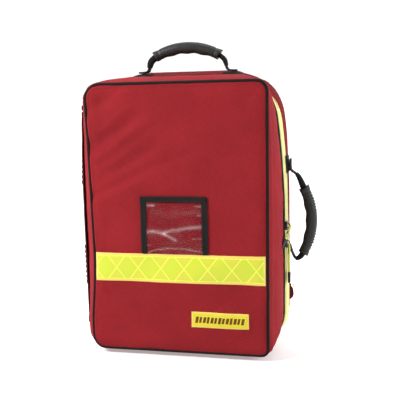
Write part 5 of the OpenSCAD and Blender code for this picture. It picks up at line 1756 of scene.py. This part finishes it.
def build_lid_inside():
    S = Shape()
    nx, nz = 100, 84
    x0, x1, z0, z1 = -128, 128, 34, 236
    X, Z = np.meshgrid(np.linspace(x0, x1, nx), np.linspace(z0, z1, nz), indexing="ij")
    d = np.minimum(np.minimum(X - x0, x1 - X), Z - z0)
    e = np.sqrt(np.clip(d / 30, 0, 1))
    Y = -92.6 + 4.4 * e * (0.75 + 0.25 * vnoise(X / 50, Z / 50, 121)) * np.clip((z1 - Z) / 30 + 0.55, 0, 1) + 0.4 * vnoise(X / 14, Z / 18, 122) * e
    Y = np.clip(Y, -92.6, -87.7)
    top, bot = np.stack([X, Y, Z], -1), np.stack([X, Y - 0.45, Z], -1)
    uv = np.stack([X, Z], -1)
    a, b = S.grid(top, uv=uv), S.grid(bot, uv=uv)
    ring = [(i, 0) for i in range(nx)] + [(nx - 1, j) for j in range(1, nz)] + [(i, nz - 1) for i in range(nx - 2, -1, -1)] + [(0, j) for j in range(nz - 2, 0, -1)]
    close_rim(S, a, b, ring, nz, uv)
    o = S.make("mesh_pocket_net", M["netting"], "lid", ["mesh_pocket"], "black_mesh")
    E, T = Shape(), Shape()
    pts = np.concatenate([np.stack([np.full(60, x0 + 1.0), np.linspace(z1 + 1, z0 + 1, 60)], 1), np.stack([np.linspace(x0 + 1, x1 - 1, 80), np.full(80, z0 + 1.0)], 1),
                          np.stack([np.full(60, x1 - 1.0), np.linspace(z0 + 1, z1 + 1, 60)], 1)])
    for seg in (pts[:60], pts[60:140], pts[140:]):
        P = np.stack([seg[:, 0], np.full(len(seg), -91.5), seg[:, 1]], 1)
        strap(E, P, np.array([0, 1.0, 0]), 9.5, 1.5)
        P = P.copy()
        P[:, 1] += 0.75
        stitches(T, P, np.array([0, 1.0, 0]), length=2.6, gap=1.2, r=0.26)
    E.make("mesh_pocket_binding", M["binding"], "lid", (), "black_binding")
    T.make("mesh_pocket_stitching", M["thread_black"], "lid", (), "black_binding")
    Z_, H = Shape(), Shape()
    P = np.stack([np.linspace(-128, 128, 90), np.full(90, -92.2), np.full(90, 245.0)], 1)
    strap(Z_, P, np.array([0, 1.0, 0]), 14.0, 1.2)
    Z_.make("pocket_zip_tape", M["zipblack"], "lid", ["pocket_zip"], "zip_teeth")
    xs = np.arange(-121, 122, 2.2)
    part = boxy((1.2, 1.1, 3.6), 0.3, 1)
    n = len(xs)
    H.stamp(part, np.stack([xs, np.full(n, -91.35), 245 + 0.35 * np.where(np.arange(n) % 2, 1, -1)], 1), np.tile([1.0, 0, 0], (n, 1)), np.tile([0, 1.0, 0], (n, 1)), np.tile([0, 0, 1.0], (n, 1)))
    H.make("pocket_zip_chain", M["teeth"], "lid", (), "zip_teeth", sharp=40)
    G = Shape()
    V, F = boxy((10, 2.6, 8.8), 0.9, 3)
    V[:, 0] *= 1 - 0.12 * np.clip(V[:, 2] / 4.4, 0, 1)
    G.add(V + [-117, -88.2, 244.5], F)
    V, F = boxy((5.6, 1.3, 17.5), 0.55, 2)
    G.add(V + [-117, -86.4, 232.6], F)
    ring = np.array([[-117 + 2.4 * math.cos(q), -86.6, 241 + 2.4 * math.sin(q)] for q in np.linspace(0, 2 * pi, 24, endpoint=False)])
    G.tube(ring, 0.7, 8, closed=True, up=(0, 1, 0))
    G.make("pocket_slider_cast", M["metal"], "pocket_runner", ["pocket_slider"], "slider_metal", sharp=45)


# ---------------------------------------------------------------- harness
def strap_c(t):
    return np.stack([46 + 62 * t - 22 * sin(pi * t), 448 - 250 * t], 1)


def strap_h(t):
    return 27 + 7 * sin(pi * np.minimum(1, t * 1.25)) - 12 * t * t




def build_harness():
    # back pads: foam under spacer mesh, with pressed channels
    objs = []
    for s, nm in ((-1, "left"), (1, "right")):
        V, F = boxy((118, 8.0, 376), 3.6, 2)
        objs.append(solid_mesh("back_pad_" + nm, V + [s * 74, 104.6, 250], F))
    puff(objs, 4.5, 4.0, 3.0)
    for o, nm in zip(objs, ("left", "right")):
        s = -1 if nm == "left" else 1
        co = np.array([v.co for v in o.data.vertices]) * 1000
        face = sstep(103, 106, co[:, 1])
        ch = sum(exp(-(((co[:, 2] - z + 0.35 * (co[:, 0] * s - 74)) / 4.2) ** 2)) for z in (135, 205, 275, 345))
        d = np.minimum(59 - np.abs(co[:, 0] - s * 74), 188 - np.abs(co[:, 2] - 250))
        co[:, 1] -= face * (3.4 * ch * sstep(0, 12, d) + 0.2 * vnoise(co[:, 0] / 14, co[:, 2] / 14, 131))
        co[:, 1] = np.clip(co[:, 1], 100.2, 110.3)
        o.data.vertices.foreach_set("co", (co * MM).astype(np.float32).ravel())
        o.data.update()
        dress(o, M["spacer"], "case", ["back_pads"])
    # shoulder straps
    B, T = Shape(), Shape()
    for s, nm in ((-1, "left"), (1, "right")):
        n, m = 110, 30
        t = np.linspace(0, 1, n)
        c, h = strap_c(t), strap_h(t)
        k = np.arange(m) * 2 * pi / m
        prof = np.stack([np.sign(cos(k)) * np.abs(cos(k)) ** 0.55, np.sign(sin(k)) * np.abs(sin(k)) ** 0.75], 1)
        end = np.sqrt(np.clip(1 - (2 * t - 1) ** 16, 0.04, 1))
        rows = []
        for i in range(n):
            hh = h[i] * (1 if 0 < i < n - 1 else 0.97)
            th = 5.3 * end[i] + 0.15 * float(vnoise(i / 7, 0, 132))
            x = c[i, 0] + prof[:, 0] * hh
            edge = 1 - 0.25 * exp(-(((np.abs(prof[:, 0]) - 0.80) / 0.05) ** 2))
            y = 115.7 + prof[:, 1] * th * edge
            rows.append(np.stack([s * x, y, np.full(m, c[i, 1])], 1))
        S = Shape()
        a = S.grid(np.array(rows), cj=True)
        S.fan(list(range(a, a + m)))
        S.fan(list(range(a + (n - 1) * m, a + n * m)))
        o = S.make("shoulder_strap_" + nm + "_padded", M["strapcloth"], "case", ["shoulder_strap_" + nm], "strap_fabric")
        for side in (-1, 1):
            P = np.stack([s * (c[:, 0] + side * (h - 0.9)), np.full(n, 115.7), c[:, 1]], 1)
            tt = tangents(P)
            nr = np.cross(tt, np.array([0, 1.0, 0]))
            nr *= np.sign((nr[:, :1] * side * s)) + (nr[:, :1] == 0)
            strap(B, P[1:-1], nr[1:-1], 8.4, 2.2)
            Q = np.stack([s * (c[:, 0] + side * h * 0.80), np.full(n, 120.3), c[:, 1]], 1)
            stitches(T, Q[3:-3], np.array([0, 1.0, 0]), length=3.0, gap=1.4, r=0.26)
        # long webbing sewn down the middle of the strap
        sel = t < 0.965
        P = np.stack([s * c[sel, 0], np.full(sel.sum(), 121.0), c[sel, 1]], 1)
        strap(B, P[6:], np.array([0, 1.0, 0]), 22, 1.5)
        for dx in (-9.3, 9.3):
            Q = P[7:] + [dx, 0.75, 0]
            stitches(T, Q, np.array([0, 1.0, 0]), length=3.0, gap=1.4, r=0.26)
    B.make("shoulder_strap_webbing", M["webbing"], "case", (), "black_webbing")
    T.make("shoulder_strap_stitching", M["thread_black"], "case", (), "strap_fabric")
    # yoke that joins the straps to the back
    S = Shape()
    nx, nz = 90, 24
    X, Z = np.meshgrid(np.linspace(-92, 92, nx), np.linspace(450, 474, nz), indexing="ij")
    d = np.minimum(92 - np.abs(X), np.minimum(Z - 450, 474 - Z))
    r = np.sqrt(np.clip(d / 7, 0, 1))
    Y = 112 + 9.0 * r - 1.0 * exp(-(((d - 5) / 1.2) ** 2)) + 0.3 * vnoise(X / 16, Z / 12, 133)
    A, Bk = np.stack([X, Y, Z], -1), np.stack([X, np.full_like(X, 99.6), Z], -1)
    uv = np.stack([X, Z], -1)
    a, b = S.grid(A, uv=uv), S.grid(Bk, uv=uv)
    ring = [(i, 0) for i in range(nx)] + [(nx - 1, j) for j in range(1, nz)] + [(i, nz - 1) for i in range(nx - 2, -1, -1)] + [(0, j) for j in range(nz - 2, 0, -1)]
    close_rim(S, a, b, ring, nz, uv)
    o = S.make("harness_yoke_padded", M["strapcloth"], "case", ["harness_yoke"], "black_fabric")
    # ladder locks, adjusting webbing, corner tabs
    L, W, TB, TS, X4 = Shape(), Shape(), Shape(), Shape(), Shape()
    for s in (-1, 1):
        for (w, y, h, x, z) in ((4.4, 6.6, 28, 94, 182), (4.4, 6.6, 28, 122, 182)):
            V, F = boxy((w, y, h), 1.5, 3)
            L.add(V * [1, 1, 1] + [s * x, 114.7, z], F)
        for z, hh, yy in ((169.8, 4.2, 6.0), (181.5, 5.0, 4.6), (193.9, 4.2, 6.4)):
            V, F = boxy((30, yy, hh), 1.4, 3)
            L.add(V + [s * 108, 114.7, z], F)
        pts = [(108, 118.9, 200), (108, 118.4, 193), (108, 115.6, 187.4), (108, 112.4, 181), (108.2, 111.6, 172), (111, 111.3, 164), (140, 111.2, 121), (165, 111.0, 85.5), (172, 109.4, 76)]
        P = spline([(s * a, b, c) for a, b, c in pts], 2.0)
        strap(W, P, np.array([0, 1.0, 0]), 20, 1.5)
        # loose tail that comes back over the bar
        pts = [(108, 112.6, 189.6), (108, 115.2, 185), (108, 119.2, 180), (108.4, 119.6, 168), (109.4, 118.0, 150), (110.5, 116.8, 134), (110.8, 117.4, 124)]
        P = spline([(s * a, b, c) for a, b, c in pts], 2.0)
        strap(W, P, np.array([0, 1.0, 0]), 20, 1.5)
        # triangular tab at the lower corner
        poly = np.array([[176, 84], [183.5, 76], [184.5, 60], [168, 48], [150, 50]], float)
        cpt = poly.mean(0)
        ring = resample(poly, 2.2, closed=True)
        for _ in range(3):
            ring = (ring + np.roll(ring, 1, 0) + np.roll(ring, -1, 0)) / 3
        levels = []
        for f, y in ((0.985, 100.6), (1.0, 101.6), (1.0, 105), (1.0, 107.6), (0.985, 108.9), (0.95, 109.5), (0.9, 109.2), (0.6, 109.8), (0.3, 110.1)):
            q = cpt + (ring - cpt) * f
            levels.append(np.stack([s * q[:, 0], np.full(len(q), y), q[:, 1]], 1))
        a = TB.grid(np.array(levels), cj=True)
        m = len(ring)
        TB.fan(list(range(a, a + m)))
        TB.fan(list(range(a + 8 * m, a + 9 * m)))
        q = cpt + (ring - cpt) * 0.86
        stitches(TS, np.stack([s * q[:, 0], np.full(len(q), 109.4), q[:, 1]], 1), np.array([0, 1.0, 0]), length=2.6, gap=1.3, r=0.27, closed=True)
    # amber size tag folded into the right-hand tab seam
    V, F = boxy((1.3, 9, 7.5), 0.5, 2)
    X4.add(V + [184.4, 103.5, 82.5], F)
    L.make("ladder_locks_moulded", M["plastic"], "case", ["ladder_locks"], "buckle_plastic", sharp=50)
    W.make("lower_webbing_pair", M["webbing"], "case", ["lower_webbing_left", "lower_webbing_right"], "black_webbing")
    # the corner tabs are coloured with the red cloth's painted shade
    TB.make("anchor_tabs_fabric", M["red_shade_painted"], "case", ["anchor_tabs"], "dark_red_webbing")
    TS.make("anchor_tab_stitching", M["thread_black"], "case", (), "dark_red_webbing")
    X4.make("anchor_tab_tag", M["tab"], "case", (), "label_fabric")
    # chest strap and its buckle
    W = Shape()
    for x0, x1 in ((-92, -17.5), (20.5, 91.5)):
        x = np.linspace(x0, x1, 40)
        P = np.stack([x, 122.5 + 0.25 * vnoise(x / 20, 0, 134), np.full(40, 360.0)], 1)
        if x0 < 0:
            strap(W, P, np.array([0, 1.0, 0]), 20, 1.6)
        else:
            C = Shape()
            strap(C, P, np.array([0, 1.0, 0]), 20, 1.6)
    W.make("chest_webbing_left_strap", M["webbing"], "case", ["chest_webbing_left"], "black_webbing")
    body = body_of_node("chest_webbing_right")
    C.make("chest_webbing_right_strap", M["webbing"], body, ["chest_webbing_right"], "black_webbing")
    S = Shape()
    for (sx, sy, sz, x, y, z, r) in ((9.5, 9, 28, -15.2, 128, 360, 2.2), (23.5, 1.9, 28, 0.2, 124.6, 360, 0.85), (23.5, 1.9, 28, 0.2, 131.4, 360, 0.85), (23, 7.4, 3.0, 0.4, 128, 347.6, 1.1), (23, 7.4, 3.0, 0.4, 128, 372.4, 1.1)):
        V, F = boxy((sx, sy, sz), r, 3)
        S.add(V + [x, y, z], F)
    S.make("chest_buckle_socket_moulded", M["plastic"], "case", ["chest_buckle_socket"], "buckle_plastic", sharp=50)
    S = Shape()
    V, F = boxy((10, 9, 28), 2.2, 3)
    S.add(V + [17.4, 128, 360], F)
    for z, w in ((352.5, 4.6), (367.5, 4.6), (360, 4.6)):
        V, F = boxy((18.5, 4.4, w), 1.1, 2)
        V[:, 2] *= 1 - 0.25 * np.clip(-V[:, 0] / 9, 0, 1)
        S.add(V + [3.8, 129.3 if z != 360 else 129.3, z], F)
    S.make("chest_buckle_clip_moulded", M["plastic"], "chest_clip", ["chest_buckle_clip"], "buckle_plastic", sharp=50)


def body_of_node(node):
    for b, members in frame["record"]["behaviour"]["bodies"].items():
        if node in members:
            return b
    return "case"


# ---------------------------------------------------------------- build
build_front_panel()
build_walls()
build_piping()
build_front_dressing()
build_zip()
build_hinge_side()
build_skids()
build_plates()
build_sliders()
build_pulls()
build_handles()
build_lid_inside()
build_pouches()
build_dividers()
build_harness()


# ---------------------------------------------------------------- floor, light, camera
def floor():
    n = Net("pale_studio_floor")
    f = n.noise(n.obj(1.0), 3.0, 2.0)
    n.set(color=n.mixc(f, (0.74, 0.74, 0.74), (0.77, 0.77, 0.77)), rough=0.7, spec=0.2)
    for k in n.mat.node_tree.nodes:
        if k.type == "BSDF_PRINCIPLED":
            # painted light: the floor glows, faintly in front and strongly towards the back, standing in for a lit
            # backdrop
            k.inputs["Emission Color"].default_value = (1, 1, 1, 1)
            g = n.ramp(n.xy(n.obj(1.0))[1], -0.20, 0.22, 0.20, 0.90)
            n.mat.node_tree.links.new(g, k.inputs["Emission Strength"])
    me = bpy.data.meshes.new("floor")
    me.from_pydata([(-14, -9, -0.0004), (14, -9, -0.0004), (14, 22, -0.0004), (-14, 22, -0.0004)], [], [(0, 1, 2, 3)])
    me.materials.append(n.mat)
    o = bpy.data.objects.new("floor", me)
    bpy.context.scene.collection.objects.link(o)


def area(name, loc, target, size, power, size_y=None):
    l = bpy.data.lights.new(name, "AREA")
    l.energy = power
    l.shape = "RECTANGLE"
    l.size, l.size_y = size, size_y or size
    o = bpy.data.objects.new(name, l)
    o.location = loc
    o.rotation_mode = "QUATERNION"
    o.rotation_quaternion = (Vector(target) - Vector(loc)).to_track_quat("-Z", "Y")
    bpy.context.scene.collection.objects.link(o)
    return o


WORLD_FRONT, KEY, FILL, TOP = 0.19, 32, 42, 20


def studio():
    floor()
    w = bpy.data.worlds.new("white_studio")
    w.use_nodes = True
    t = w.node_tree
    co, sep, ramp = t.nodes.new("ShaderNodeTexCoord"), t.nodes.new("ShaderNodeSeparateXYZ"), t.nodes.new("ShaderNodeMapRange")
    t.links.new(co.outputs["Generated"], sep.inputs[0])
    t.links.new(sep.outputs["Y"], ramp.inputs[0])
    for k, v in zip(range(1, 5), (-0.05, 0.40, WORLD_FRONT, 1.10)):
        ramp.inputs[k].default_value = v
    t.nodes["Background"].inputs[0].default_value = (1, 1, 1, 1)
    t.links.new(ramp.outputs[0], t.nodes["Background"].inputs[1])
    bpy.context.scene.world = w
    area("key_softbox", (-1.10, -0.78, 1.10), (-0.08, -0.08, 0.34), 0.45, KEY)
    area("fill_softbox", (2.5, -0.7, 1.4), (0.1, 0, 0.25), 1.2, FILL)
    area("top_softbox", (0.1, 0.1, 2.6), (0, 0, 0.3), 1.6, TOP)
    sc = bpy.context.scene
    sc.view_settings.view_transform = "Standard"
    sc.view_settings.look = "None"
    cam = bpy.data.cameras.new("camera")
    cam.sensor_width, cam.sensor_fit = 36, "AUTO"
    cam.lens = 67.59
    cam.shift_x, cam.shift_y = 0.060, 0.0537
    cam.clip_start, cam.clip_end = 0.05, 60
    o = bpy.data.objects.new("camera", cam)
    fwd = Vector((-0.23207, 0.95546, -0.18232)).normalized()
    right = fwd.cross(Vector((0, 0, 1))).normalized()
    up = right.cross(fwd)
    roll = math.radians(1.566)
    x = math.cos(roll) * right - math.sin(roll) * up
    y = math.sin(roll) * right + math.cos(roll) * up
    z = -fwd
    o.matrix_world = Matrix(((x.x, y.x, z.x, 0.299425), (x.y, y.y, z.y, -1.332779), (x.z, y.z, z.z, 0.480240), (0, 0, 0, 1)))
    bpy.context.scene.collection.objects.link(o)
    sc.camera = o


studio()
